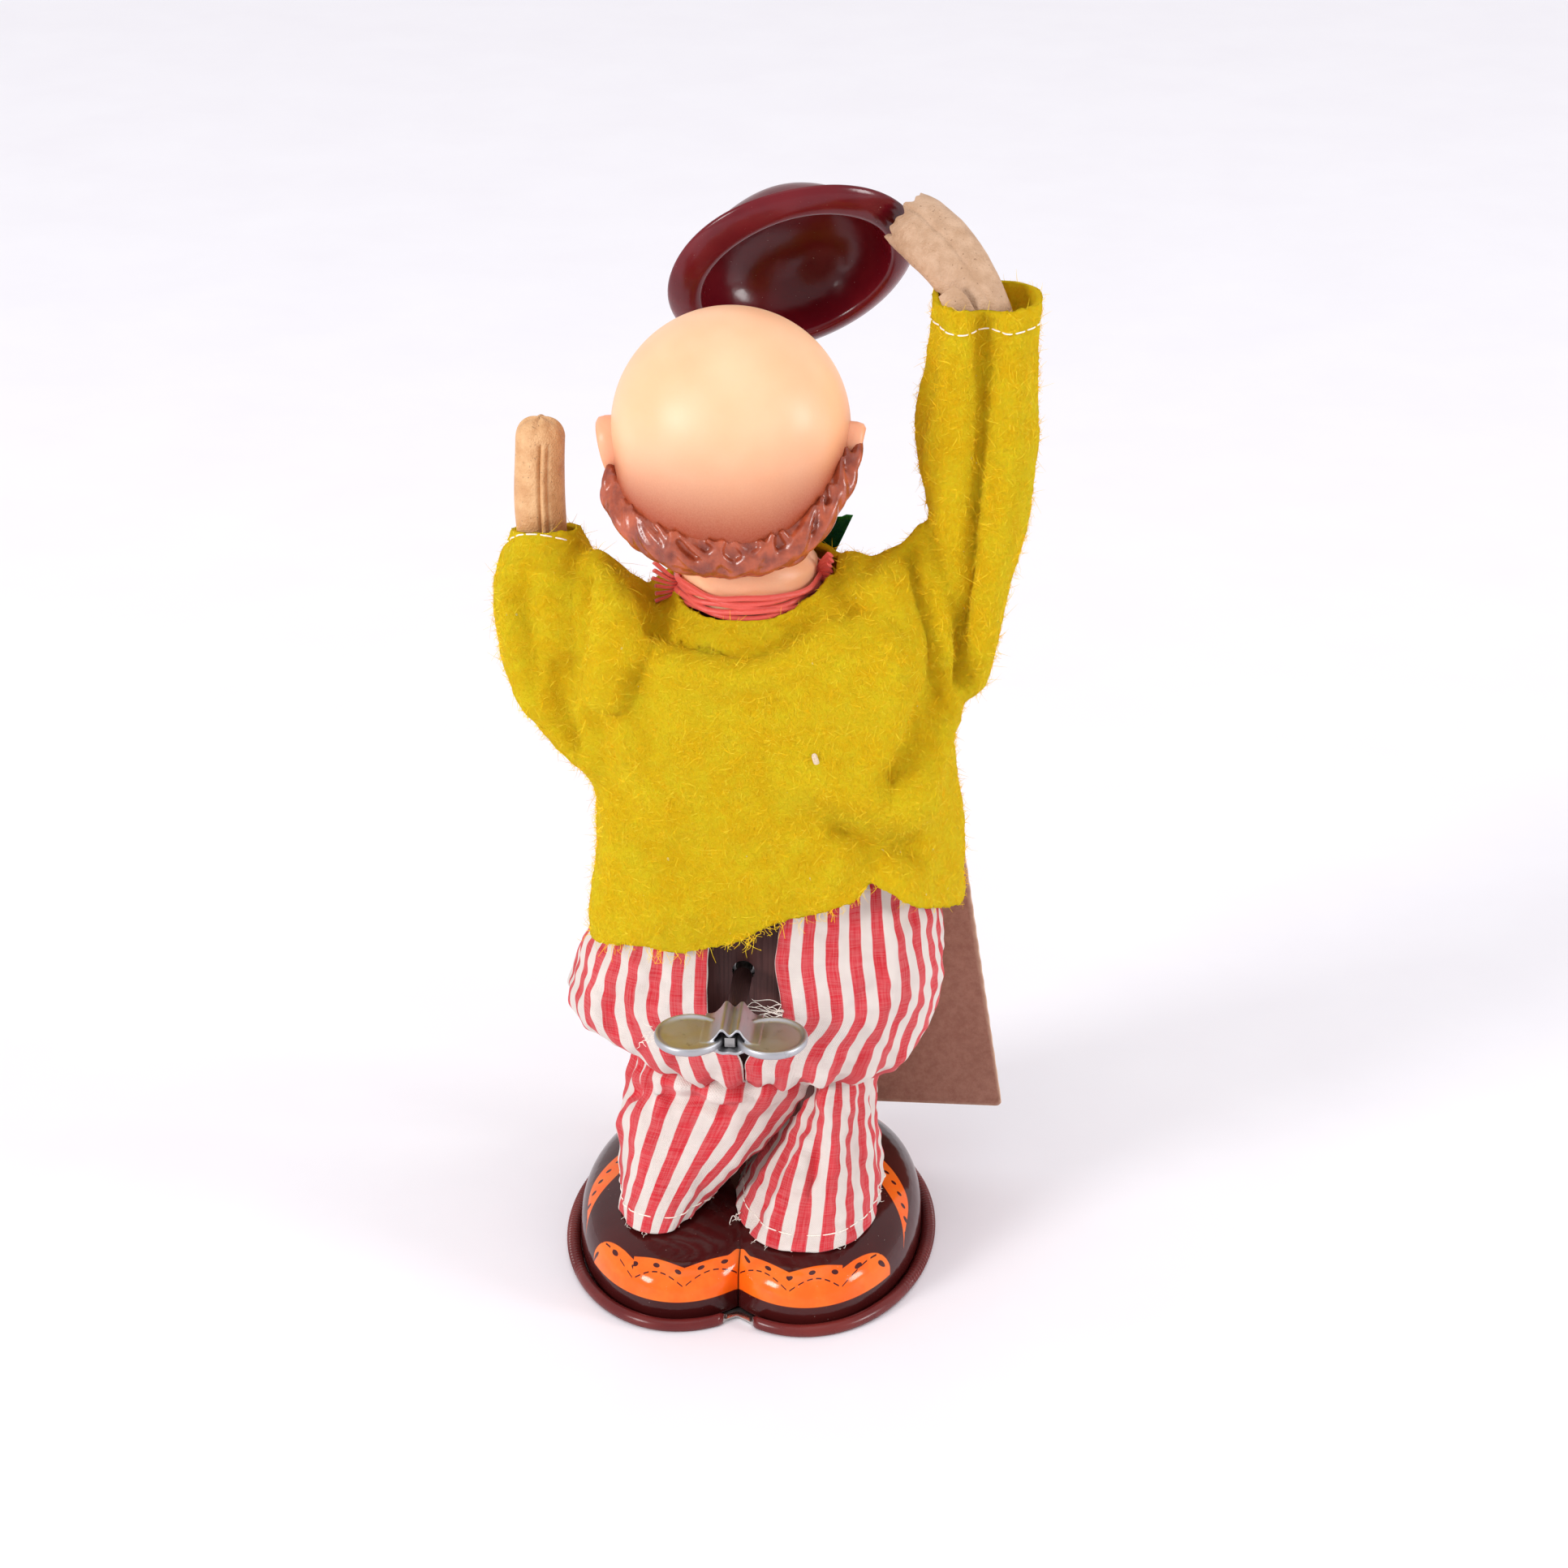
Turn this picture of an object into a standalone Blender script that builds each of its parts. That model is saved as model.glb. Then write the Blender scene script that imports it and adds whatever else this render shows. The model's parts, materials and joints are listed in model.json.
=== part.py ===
"""Wind-up tin toy: a clockwork figure on a pair of tin shoes that lifts its hat.

The figure stands on Z = 0 and faces +Y, so its key is on the -Y side.
Sizes below are in millimetres; add_piece turns them into metres.
"""
import math

import bpy
from mathutils import Vector

MM = 0.001
GAP = 0.3                    # clearance left between pieces that touch
TIN = 0.8                    # thickness of pressed tin
FELT = 1.3                   # thickness of the jacket's felt
COTTON = 1.0                 # thickness of the trousers' cloth, with its folds
ROUND = 24                   # sides of a round piece

# Shoes: two overlapping ellipses, one for each shoe
SHOE_X, SHOE_A, SHOE_B = 14.0, 28.0, 45.0
RIM = 3.3                    # width of the crimped rim around the shoe shell
RIM_TOP = 2.6
SHELL_FOOT = TIN + GAP
SHELL_RISE = 15.0
LEG_X, LEG_Y, LEG_R = 15.0, -7.0, 6.0

# Tin body
BODY_DEPTH = 18.0
BODY_FOOT, BODY_TOP = 46.0, 152.0
KEY_Z = 76.0
ARM_Y, ARM_Z = 8.0, 146.0    # common axis of both arm shafts
SHAFT_R = 1.5

# Clockwork
PLATE_Y = (-15.6, 10.2)      # rear faces of the two motor plates
PLATE_T = 0.8
GREAT_TEETH, PINION_TEETH, GREAT_MODULE = 30, 10, 0.8
WHEEL_TEETH, ESCAPE_PINION_TEETH, WHEEL_MODULE = 24, 8, 0.6
SECOND_Z = KEY_Z + GREAT_MODULE * (GREAT_TEETH + PINION_TEETH) / 2
ESCAPE_X = WHEEL_MODULE * (WHEEL_TEETH + ESCAPE_PINION_TEETH) / 2
ARBOR_R = 0.8
ANCHOR_Z = SECOND_Z + 7.6
CAM_LOW, CAM_HIGH = 4.0, 8.0

# Head, hat and hands
NECK_R, NECK_Z = 14.5, 158.6
HEAD = Vector((-3.7, 0.0, 194.5))
HEAD_R = 25.0
POST_R, POST_TOP = 5.0, 176.0
HAT = Vector((6.4, 44.1, 213.8))
HAT_UP = Vector((-0.322, 0.755, 0.573)).normalized()
HAT_R, BOWL_R, BOWL_H = 28.0, 21.0, 16.4
GRIP = Vector((30.3, 43.8, 227.6))

# Sign
SIGN_X, SIGN_Y = 18.0, 31.8  # middle of the card
SIGN_FOOT, SIGN_TOP = 16.8, 96.0
SIGN_FOOT_WIDTH, SIGN_TOP_WIDTH = 76.0, 52.0
CARD = 1.2                   # thickness of the chipboard
PIN_Y, PIN_Z = 29.4, 99.2    # the sign's hinge pin, along X
KNUCKLE_R, PIN_R = 1.6, 0.7


def reset():
    for obj in list(bpy.data.objects):
        bpy.data.objects.remove(obj)


def material(name, rgb, rough, metal=0.0):
    mat = bpy.data.materials.new(name)
    mat.use_nodes = True
    shader = mat.node_tree.nodes["Principled BSDF"]
    shader.inputs["Base Color"].default_value = (*rgb, 1.0)
    shader.inputs["Roughness"].default_value = rough
    shader.inputs["Metallic"].default_value = metal
    return mat


def axis_empty(name, point):
    """An empty on a joint's axis, which that joint's pieces are parented to."""
    empty = bpy.data.objects.new(name, None)
    empty.location = Vector(point) * MM
    bpy.context.scene.collection.objects.link(empty)
    return empty


def add_piece(name, verts, faces, mat, parent=None):
    """Make an object from a mesh in world millimetres, with its origin at its parent."""
    origin = parent.location if parent else Vector()
    mesh = bpy.data.meshes.new(name)
    mesh.from_pydata([Vector(v) * MM - origin for v in verts], [], faces)
    mesh.validate()
    obj = bpy.data.objects.new(name, mesh)
    bpy.context.scene.collection.objects.link(obj)
    obj.parent = parent
    if mat:
        mesh.materials.append(mat)
    mesh.shade_smooth()
    mesh.set_sharp_from_angle(angle=math.radians(35))
    return obj


def outward(verts, faces):
    """Faces turned so that the closed mesh has a positive volume."""
    volume = 0.0
    for face in faces:
        a = Vector(verts[face[0]])
        for i in range(1, len(face) - 1):
            volume += a.dot(Vector(verts[face[i]]).cross(Vector(verts[face[i + 1]])))
    return faces if volume > 0 else [face[::-1] for face in faces]


def loft(name, rings, mat, parent=None, tube=False):
    """Join rings of equal length: a capped solid, or with tube a wall that closes on itself."""
    count = len(rings[0])
    verts = [p for ring in rings for p in ring]
    last = len(rings) if tube else len(rings) - 1
    faces = []
    for r in range(last):
        low, high = r * count, (r + 1) % len(rings) * count
        for i in range(count):
            j = (i + 1) % count
            faces.append((low + i, low + j, high + j, high + i))
    if not tube:
        faces.append(tuple(range(count))[::-1])
        faces.append(tuple(range(len(verts) - count, len(verts))))
    return add_piece(name, verts, outward(verts, faces), mat, parent)


def frame_of(direction):
    """Two unit vectors across a direction."""
    d = Vector(direction).normalized()
    side = d.cross(Vector((0, 0, 1)))
    if side.length < 0.1:
        side = Vector((1, 0, 0))
    side.normalize()
    return side, d.cross(side)


def circle(centre, direction, radius, count=ROUND):
    side, up = frame_of(direction)
    turn = 2 * math.pi / count
    return [Vector(centre) + side * (radius * math.cos(turn * i)) + up * (radius * math.sin(turn * i))
            for i in range(count)]


def rod(name, start, end, radius, mat, parent=None, count=ROUND):
    """A round bar between two points."""
    along = Vector(end) - Vector(start)
    rings = [circle(start, along, radius, count), circle(end, along, radius, count)]
    return loft(name, rings, mat, parent)


def turned(name, centre, direction, profile, mat, parent=None, count=ROUND):
    """A piece turned about a direction, from (height, radius) points."""
    d = Vector(direction).normalized()
    rings = [circle(Vector(centre) + d * h, d, r, count) for h, r in profile]
    return loft(name, rings, mat, parent)


def swept(name, path, radii, mat, parent=None, count=12, dome=0):
    """A round tube along a path; dome adds rings that round off its end."""
    points = [Vector(p) for p in path]
    rings = []
    for i, point in enumerate(points):
        before, after = points[max(i - 1, 0)], points[min(i + 1, len(points) - 1)]
        tangent = (after - before).normalized()
        side = tangent.cross(Vector((0, 1, 0))).normalized()
        other = tangent.cross(side)
        rings.append((point, side, other, tangent, radii[i]))
    point, side, other, tangent, radius = rings[-1]
    for k in range(1, dome + 1):
        lean = math.pi / 2 * k / (dome + 0.5)
        tip = point + tangent * (radius * math.sin(lean))
        rings.append((tip, side, other, tangent, radius * math.cos(lean)))
    turn = 2 * math.pi / count
    loops = [[p + s * (r * math.cos(turn * i)) + o * (r * math.sin(turn * i)) for i in range(count)]
             for p, s, o, _, r in rings]
    return loft(name, loops, mat, parent)


def boolean(piece, other, operation):
    modifier = piece.modifiers.new(other.name, "BOOLEAN")
    modifier.object = other
    modifier.operation = operation
    modifier.solver = "EXACT"
    other.hide_render = True
    other.display_type = "WIRE"


def drill(piece, holes, count=16):
    """Cut round holes, each given as (start, end, radius)."""
    for i, (start, end, radius) in enumerate(holes):
        cutter = rod(f"cutter_{piece.name}_{i}", start, end, radius, None, None, count)
        boolean(piece, cutter, "DIFFERENCE")


def slab_y(outline, y0, y1):
    """Rings of an (x, z) outline at two depths."""
    return [[(x, y, z) for x, z in outline] for y in (y0, y1)]


def slab_x(outline, x0, x1):
    """Rings of a (y, z) outline at two widths."""
    return [[(x, y, z) for y, z in outline] for x in (x0, x1)]


def arc(cy, cz, radius, first, last, step):
    """Points along an arc, with its ends in degrees."""
    count = round(abs(last - first) / step)
    turns = [math.radians(first + (last - first) * i / count) for i in range(count + 1)]
    return [(cy + radius * math.cos(a), cz + radius * math.sin(a)) for a in turns]


def wheel(name, centre, outline, teeth, bore, y0, y1, mat, parent):
    """A toothed wheel on a Y axis: an outline of `teeth` equal stretches around a round bore."""
    cx, cz = centre
    per_tooth = len(outline) // teeth
    outer = [[(x + cx, y, z + cz) for x, z in outline] for y in (y0, y1)]
    start = math.atan2(outline[0][1], outline[0][0])
    turn = 2 * math.pi / teeth
    inner = [[(cx + bore * math.cos(start + turn * i), y, cz + bore * math.sin(start + turn * i))
              for i in range(teeth)] for y in (y0, y1)]
    verts = outer[0] + outer[1] + inner[0] + inner[1]
    n = len(outline)
    faces = []
    for i in range(n):
        j = (i + 1) % n
        faces.append((i, j, n + j, n + i))
    for t in range(teeth):
        u = (t + 1) % teeth
        faces.append((2 * n + u, 2 * n + t, 2 * n + teeth + t, 2 * n + teeth + u))
        rim = [(t * per_tooth + k) % n for k in range(per_tooth + 1)]
        faces.append(tuple([2 * n + t, 2 * n + u] + rim[::-1]))
        faces.append(tuple([2 * n + teeth + u, 2 * n + teeth + t] + [n + k for k in rim]))
    return add_piece(name, verts, outward(verts, faces), mat, parent)


def gear_outline(teeth, module, first):
    """An involute gear, thinned for backlash, with the centre of a tooth at the angle `first`."""
    pitch_r = module * teeth / 2
    base_r = pitch_r * math.cos(math.radians(20))
    tip_r, root_r = pitch_r + 0.75 * module, pitch_r - 1.05 * module
    half = 0.76 * math.pi / (2 * teeth)

    def involute(radius):
        ratio = max(radius / base_r, 1.0)
        roll = math.sqrt(ratio * ratio - 1)
        return roll - math.atan(roll)

    points = []
    for t in range(teeth):
        middle = first + 2 * math.pi * t / teeth
        for radius, side in ((root_r, -1), (pitch_r, -1), (tip_r, -1), (tip_r, 1), (pitch_r, 1), (root_r, 1)):
            lean = half + involute(pitch_r) - involute(radius)
            points.append((radius * math.cos(middle + side * lean), radius * math.sin(middle + side * lean)))
    return points


def saw_outline(teeth, root_r, tip_r, lean):
    """Saw teeth: each rises along its back and drops along a nearly radial face."""
    points = []
    for t in range(teeth):
        a = 2 * math.pi * t / teeth
        b = a + 2 * math.pi / teeth * lean
        points += [(root_r * math.cos(a), root_r * math.sin(a)), (tip_r * math.cos(b), tip_r * math.sin(b))]
    return points


def shoe_radius(angle, inset=0.0):
    """Distance from the middle to the outline of the two shoes, in a direction."""
    a, b = SHOE_A - inset, SHOE_B - inset
    dx, dy = math.cos(angle), math.sin(angle)
    reach = []
    for side in (-1, 1):
        cx = side * SHOE_X
        p = (dx / a) ** 2 + (dy / b) ** 2
        q = -2 * dx * cx / a ** 2
        s = (cx / a) ** 2 - 1
        reach.append((-q + math.sqrt(q * q - 4 * p * s)) / (2 * p))
    return 0.5 * (reach[0] + reach[1] + math.hypot(reach[0] - reach[1], 1.2))


def shoe_height(x, y):
    """Height of the shoe shell's outer surface."""
    a, b = SHOE_A - RIM, SHOE_B - RIM
    rho = min(math.hypot((x - side * SHOE_X) / a, y / b) for side in (-1, 1))
    return SHELL_FOOT + SHELL_RISE * max(0.0, 1 - rho ** 4) ** 0.25


def shoe_ring(inset, z, count=56):
    ring = []
    for i in range(count):
        angle = 2 * math.pi * (i + 0.5) / count
        r = shoe_radius(angle, inset)
        ring.append((r * math.cos(angle), r * math.sin(angle), z))
    return ring


def oval(z, x0, x1, y0, y1, power=2.5, count=28):
    """A rounded section at a height, between two widths and two depths."""
    cx, cy, a, b = (x0 + x1) / 2, (y0 + y1) / 2, (x1 - x0) / 2, (y1 - y0) / 2
    ring = []
    for i in range(count):
        angle = 2 * math.pi * i / count
        c, s = math.cos(angle), math.sin(angle)
        ring.append((cx + a * math.copysign(abs(c) ** (2 / power), c),
                     cy + b * math.copysign(abs(s) ** (2 / power), s), z))
    return ring


def cloth_tube(name, sections, thickness, mat, parent=None, power=2.5, hem=None):
    """A hollow garment piece, open at both ends; hem bends the height of the lowest section."""
    outer = [oval(*section, power) for section in sections]
    inner = [oval(z, x0 + thickness, x1 - thickness, y0 + thickness, y1 - thickness, power)
             for z, x0, x1, y0, y1 in sections]
    if hem:
        outer[0] = [(x, y, hem(x, y)) for x, y, _ in outer[0]]
        inner[0] = [(x, y, hem(x, y)) for x, y, _ in inner[0]]
    return loft(name, outer + inner[::-1], mat, parent, tube=True)


def make_shoes(mats):
    edge = [shoe_ring(1.2, 0.0), shoe_ring(0.3, 0.4), shoe_ring(0.0, 1.3), shoe_ring(0.5, 2.2),
            shoe_ring(1.5, RIM_TOP), shoe_ring(2.6, 2.2), shoe_ring(RIM - GAP, 1.6),
            shoe_ring(RIM - GAP, TIN)]
    loft("base_plate", edge, mats["rim_tin"])
    outer = [shoe_ring(RIM, SHELL_FOOT)]
    inner = [shoe_ring(RIM + TIN, SHELL_FOOT)]
    for part in (0.995, 0.97, 0.92, 0.84, 0.70, 0.50, 0.25):
        ring = [(x * part, y * part) for x, y, _ in outer[0]]
        outer.append([(x, y, max(SHELL_FOOT + 1.0, shoe_height(x, y))) for x, y in ring])
        ring = [(x * part, y * part) for x, y, _ in inner[0]]
        inner.append([(x, y, max(SHELL_FOOT + 0.5, shoe_height(x, y) - 1.3)) for x, y in ring])
    loft("shoe_shell", inner[::-1] + outer, mats["shoe_tin"])
    for side, name in ((-1, "left_leg"), (1, "right_leg")):
        x = side * LEG_X
        top, foot = (x, LEG_Y, BODY_FOOT - GAP), (x, LEG_Y, SHELL_FOOT + SHELL_RISE + GAP)
        rod(name, foot, top, LEG_R, mats["body_tin"])


def body_outline(inset):
    """The tin body's outline in (x, z): a straight motor case below a wider chest."""
    half = [(16, BODY_FOOT), (20, BODY_FOOT + 3), (20, 104), (22, 112), (24, 124), (24, BODY_TOP - 3),
            (20, BODY_TOP - 1), (12, BODY_TOP)]
    middle_z = (BODY_FOOT + BODY_TOP) / 2
    squeeze = 1 - inset / (middle_z - BODY_FOOT)
    right = [(x - inset, middle_z + (z - middle_z) * squeeze) for x, z in half]
    return right + [(-x, z) for x, z in right[::-1]]


def make_body(mats):
    chamfer = 5.0
    for side, name in ((-1, "body_shell_rear"), (1, "body_shell_front")):
        seam = GAP if side > 0 else 0.0
        shoulder, face = side * (BODY_DEPTH - chamfer), side * BODY_DEPTH
        levels = ((chamfer, face), (0.0, shoulder), (0.0, seam), (TIN, seam),
                  (TIN, shoulder), (TIN + chamfer, face - side * TIN))
        rings = [[(x, y, z) for x, z in body_outline(inset)] for inset, y in levels]
        shell = loft(name, rings, mats["body_tin"])
        if side < 0:
            drill(shell, [((0, -BODY_DEPTH - 2, KEY_Z), (0, -BODY_DEPTH + 3, KEY_Z), 2.5)])
        else:
            drill(shell, [((s * 22, ARM_Y, ARM_Z), (s * 26, ARM_Y, ARM_Z), SHAFT_R + GAP) for s in (-1, 1)])
    rod("neck_post", (0, 0, BODY_TOP + GAP), (0, 0, POST_TOP), POST_R, mats["steel"])
    corners = [(ARM_Y - 5, ARM_Z - 6), (BODY_DEPTH - TIN - GAP, ARM_Z - 6),
               (BODY_DEPTH - TIN - GAP, ARM_Z - 1), (ARM_Y + 4, ARM_Z + 4), (ARM_Y - 5, ARM_Z + 4)]
    plate = loft("shaft_bracket", slab_x(corners, -8.0, -7.0), mats["steel"])
    drill(plate, [((-10, ARM_Y, ARM_Z), (-5, ARM_Y, ARM_Z), SHAFT_R + GAP)])


def make_motor(mats):
    arbors = [(0, KEY_Z, 1.9), (0, SECOND_Z, ARBOR_R + 0.25), (ESCAPE_X, SECOND_Z, ARBOR_R + 0.25),
              (ESCAPE_X, ANCHOR_Z, ARBOR_R + 0.25)]
    for y, name in zip(PLATE_Y, ("motor_plate_rear", "motor_plate_front")):
        outline = [(-15.8, 53), (15.8, 53), (15.8, 106), (-15.8, 106)]
        plate = loft(name, slab_y(outline, y, y + PLATE_T), mats["steel"])
        drill(plate, [((x, y - 1, z), (x, y + 2, z), r) for x, z, r in arbors])
    y0, y1 = PLATE_Y[0] + PLATE_T + GAP, PLATE_Y[1] - GAP
    for i, (x, z) in enumerate(((-13.8, 55), (13.8, 55), (-13.8, 103.5), (13.8, 103.5)), start=1):
        rod(f"motor_pillar_{i}", (x, y0, z), (x, y1, z), 1.3, mats["brass"], count=12)
    make_mainspring(mats["steel"])


def make_mainspring(mat):
    """A flat strip wound in a spiral around the winding arbor."""
    turns, steps, strip = 5, 22, 0.5
    inner_r, outer_r = 2.6, 12.6
    rings = []
    for i in range(turns * steps + 1):
        angle = 2 * math.pi * i / steps
        r = inner_r + (outer_r - inner_r) * i / (turns * steps)
        c, s = math.cos(angle), math.sin(angle)
        rings.append([((r + dr) * c, y, KEY_Z + (r + dr) * s)
                      for dr, y in ((0, -13.6), (strip, -13.6), (strip, -8.0), (0, -8.0))])
    loft("mainspring", rings, mat)


def make_key(mats):
    axis = axis_empty("key_axis", (0, 0, KEY_Z))
    rod("winding_arbor", (0, -20.0, KEY_Z), (0, PLATE_Y[1] + 0.6, KEY_Z), 1.6, mats["steel"], axis)
    rod("key_stem", (0, -37.7, KEY_Z), (0, -20.3, KEY_Z), 2.1, mats["key_stem"], axis)
    centre_y, wing_x, wing_rx, wing_ry, half_t = -47.5, 8.6, 7.6, 8.4, 0.55
    outline = []
    for side in (1, -1):
        for i in range(-8, 9):
            angle = math.radians(17.5 * i)
            outline.append((side * (wing_x + wing_rx * math.cos(angle)),
                            centre_y + side * wing_ry * math.sin(angle)))
    rings = [[(x, y, KEY_Z + z) for x, y in outline] for z in (-half_t, half_t)]
    wings = loft("key", rings, mats["chrome"], axis)
    section = ((-3, -2.2), (3, -2.2), (3, 0.8), (1.6, 3.0), (-1.6, 3.0), (-3, 0.8))
    hub = [[(x, y, KEY_Z + z) for x, z in section] for y in (-51.0, -38.0)]
    boolean(wings, loft("join_key_hub", hub, None), "UNION")
    ratchet = saw_outline(16, 5.2, 6.0, 0.85)
    wheel("ratchet_wheel", (0, KEY_Z), ratchet, 16, 1.9, -6.6, -5.6, mats["steel"], axis)


def make_train(mats):
    great = axis_empty("great_wheel_axis", (0, 0, KEY_Z))
    up = math.pi / 2
    outline = gear_outline(GREAT_TEETH, GREAT_MODULE, up)
    wheel("great_wheel", (0, KEY_Z), outline, GREAT_TEETH, 1.9, -4.0, -3.0, mats["brass"], great)
    pin_angle, pin_reach = math.radians(215), 9.4
    px, pz = pin_reach * math.cos(pin_angle), KEY_Z + pin_reach * math.sin(pin_angle)
    rod("click_pin", (px, -6.8, pz), (px, -4.3, pz), 0.7, mats["steel"], great, 12)
    click_axis = axis_empty("click_axis", (px, 0, pz))
    tip_angle, tip_reach = math.radians(262), 6.35
    tip = Vector((tip_reach * math.cos(tip_angle), KEY_Z + tip_reach * math.sin(tip_angle)))
    back = Vector((px, pz))
    along = (tip - back).normalized()
    across = Vector((along.y, -along.x))
    if across.dot(back - Vector((0, KEY_Z))) < 0:
        across = -across
    eye = [back + across * (1.6 * math.cos(a)) - along * (1.6 * math.sin(a))
           for a in (math.pi * i / 8 for i in range(9))]
    pawl = [(p.x, p.y) for p in eye] + [(tip.x, tip.y), tuple(tip + across * 1.1 - along * 0.2)]
    click = loft("click", slab_y(pawl, -6.6, -5.6), mats["steel"], click_axis)
    drill(click, [((px, -8, pz), (px, -5, pz), 0.95)], 12)

    second = axis_empty("second_axis", (0, 0, SECOND_Z))
    pinion = gear_outline(PINION_TEETH, GREAT_MODULE, -up + math.pi / PINION_TEETH)
    wheel("second_pinion", (0, SECOND_Z), pinion, PINION_TEETH, ARBOR_R + GAP, -4.8, -2.2,
          mats["brass"], second)
    rod("second_arbor", (0, -15.4, SECOND_Z), (0, 10.8, SECOND_Z), ARBOR_R, mats["steel"], second, 12)
    outline = gear_outline(WHEEL_TEETH, WHEEL_MODULE, 0.0)
    wheel("second_wheel", (0, SECOND_Z), outline, WHEEL_TEETH, ARBOR_R + GAP, 3.0, 3.8,
          mats["brass"], second)
    cam = []
    for i in range(32):
        angle = 2 * math.pi * i / 32
        r = (CAM_HIGH + CAM_LOW) / 2 + (CAM_HIGH - CAM_LOW) / 2 * math.sin(angle)
        cam.append((r * math.cos(angle), r * math.sin(angle)))
    wheel("lift_cam", (0, SECOND_Z), cam, 16, ARBOR_R + GAP, -1.0, 1.0, mats["steel"], second)

    escape = axis_empty("escape_axis", (ESCAPE_X, 0, SECOND_Z))
    pinion = gear_outline(ESCAPE_PINION_TEETH, WHEEL_MODULE, math.pi + math.pi / ESCAPE_PINION_TEETH)
    centre = (ESCAPE_X, SECOND_Z)
    wheel("escape_pinion", centre, pinion, ESCAPE_PINION_TEETH, ARBOR_R + 0.2, 2.4, 4.4,
          mats["brass"], escape)
    rod("escape_arbor", (ESCAPE_X, -15.4, SECOND_Z), (ESCAPE_X, 10.8, SECOND_Z), ARBOR_R,
        mats["steel"], escape, 12)
    points = saw_outline(12, 3.4, 4.6, 0.5)
    wheel("escape_wheel", centre, points, 12, ARBOR_R + GAP, 6.0, 6.8, mats["brass"], escape)

    rock = axis_empty("anchor_axis", (ESCAPE_X, 0, ANCHOR_Z))
    arms = []
    for reach, angles in ((6.4, range(35, 146, 10)), (5.2, range(145, 34, -10))):
        for degrees in angles:
            a = math.radians(degrees)
            arms.append((ESCAPE_X + reach * math.cos(a), SECOND_Z + reach * math.sin(a)))
    anchor = loft("anchor", slab_y(arms, 6.0, 6.8), mats["steel"], rock)
    hub = rod("join_anchor_hub", (ESCAPE_X, 6.1, ANCHOR_Z), (ESCAPE_X, 6.7, ANCHOR_Z), 1.9, None, None, 16)
    boolean(anchor, hub, "UNION")
    drill(anchor, [((ESCAPE_X, 5, ANCHOR_Z), (ESCAPE_X, 8, ANCHOR_Z), ARBOR_R + 0.2)], 12)
    rod("anchor_arbor", (ESCAPE_X, -15.4, ANCHOR_Z), (ESCAPE_X, 10.8, ANCHOR_Z), ARBOR_R,
        mats["steel"], rock, 12)


def make_head(mats):
    """One vinyl shell in the round: skull, jaw, nose, ears and a band of hair, on a neck."""
    axis = axis_empty("head_axis", (0, 0, BODY_TOP))
    bumps = [((0.1, 0.3, -0.85), 5.5, 0.5), ((0.25, 1.0, -0.12), 4.0, 0.16), ((0.2, 1.0, -0.55), 2.0, 0.4),
             ((-1.0, 0.1, -0.34), 4.2, 0.14), ((1.0, 0.1, -0.34), 4.2, 0.14),
             ((0.0, -1.0, -0.75), 1.5, 0.35)]
    bumps = [(Vector(d).normalized(), height, width) for d, height, width in bumps]
    rings = [circle((0, 0, NECK_Z), (0, 0, 1), NECK_R), circle((0, 0, NECK_Z + 5), (0, 0, 1), NECK_R - 0.3)]
    levels = 13
    for i in range(levels):
        tilt = math.radians(140 - 134 * i / (levels - 1))
        ring = []
        for k in range(ROUND):
            turn = 2 * math.pi * k / ROUND
            d = Vector((math.sin(tilt) * math.cos(turn), math.sin(tilt) * math.sin(turn), math.cos(tilt)))
            radius = HEAD_R + sum(h * math.exp(-((d - b).length / w) ** 2) for b, h, w in bumps)
            ring.append(HEAD + d * radius)
        rings.append(ring)
    head = loft("head", rings, mats["skin"], axis)
    drill(head, [((0, 0, NECK_Z - 4), (0, 0, POST_TOP + GAP), POST_R + GAP)], ROUND)


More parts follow.
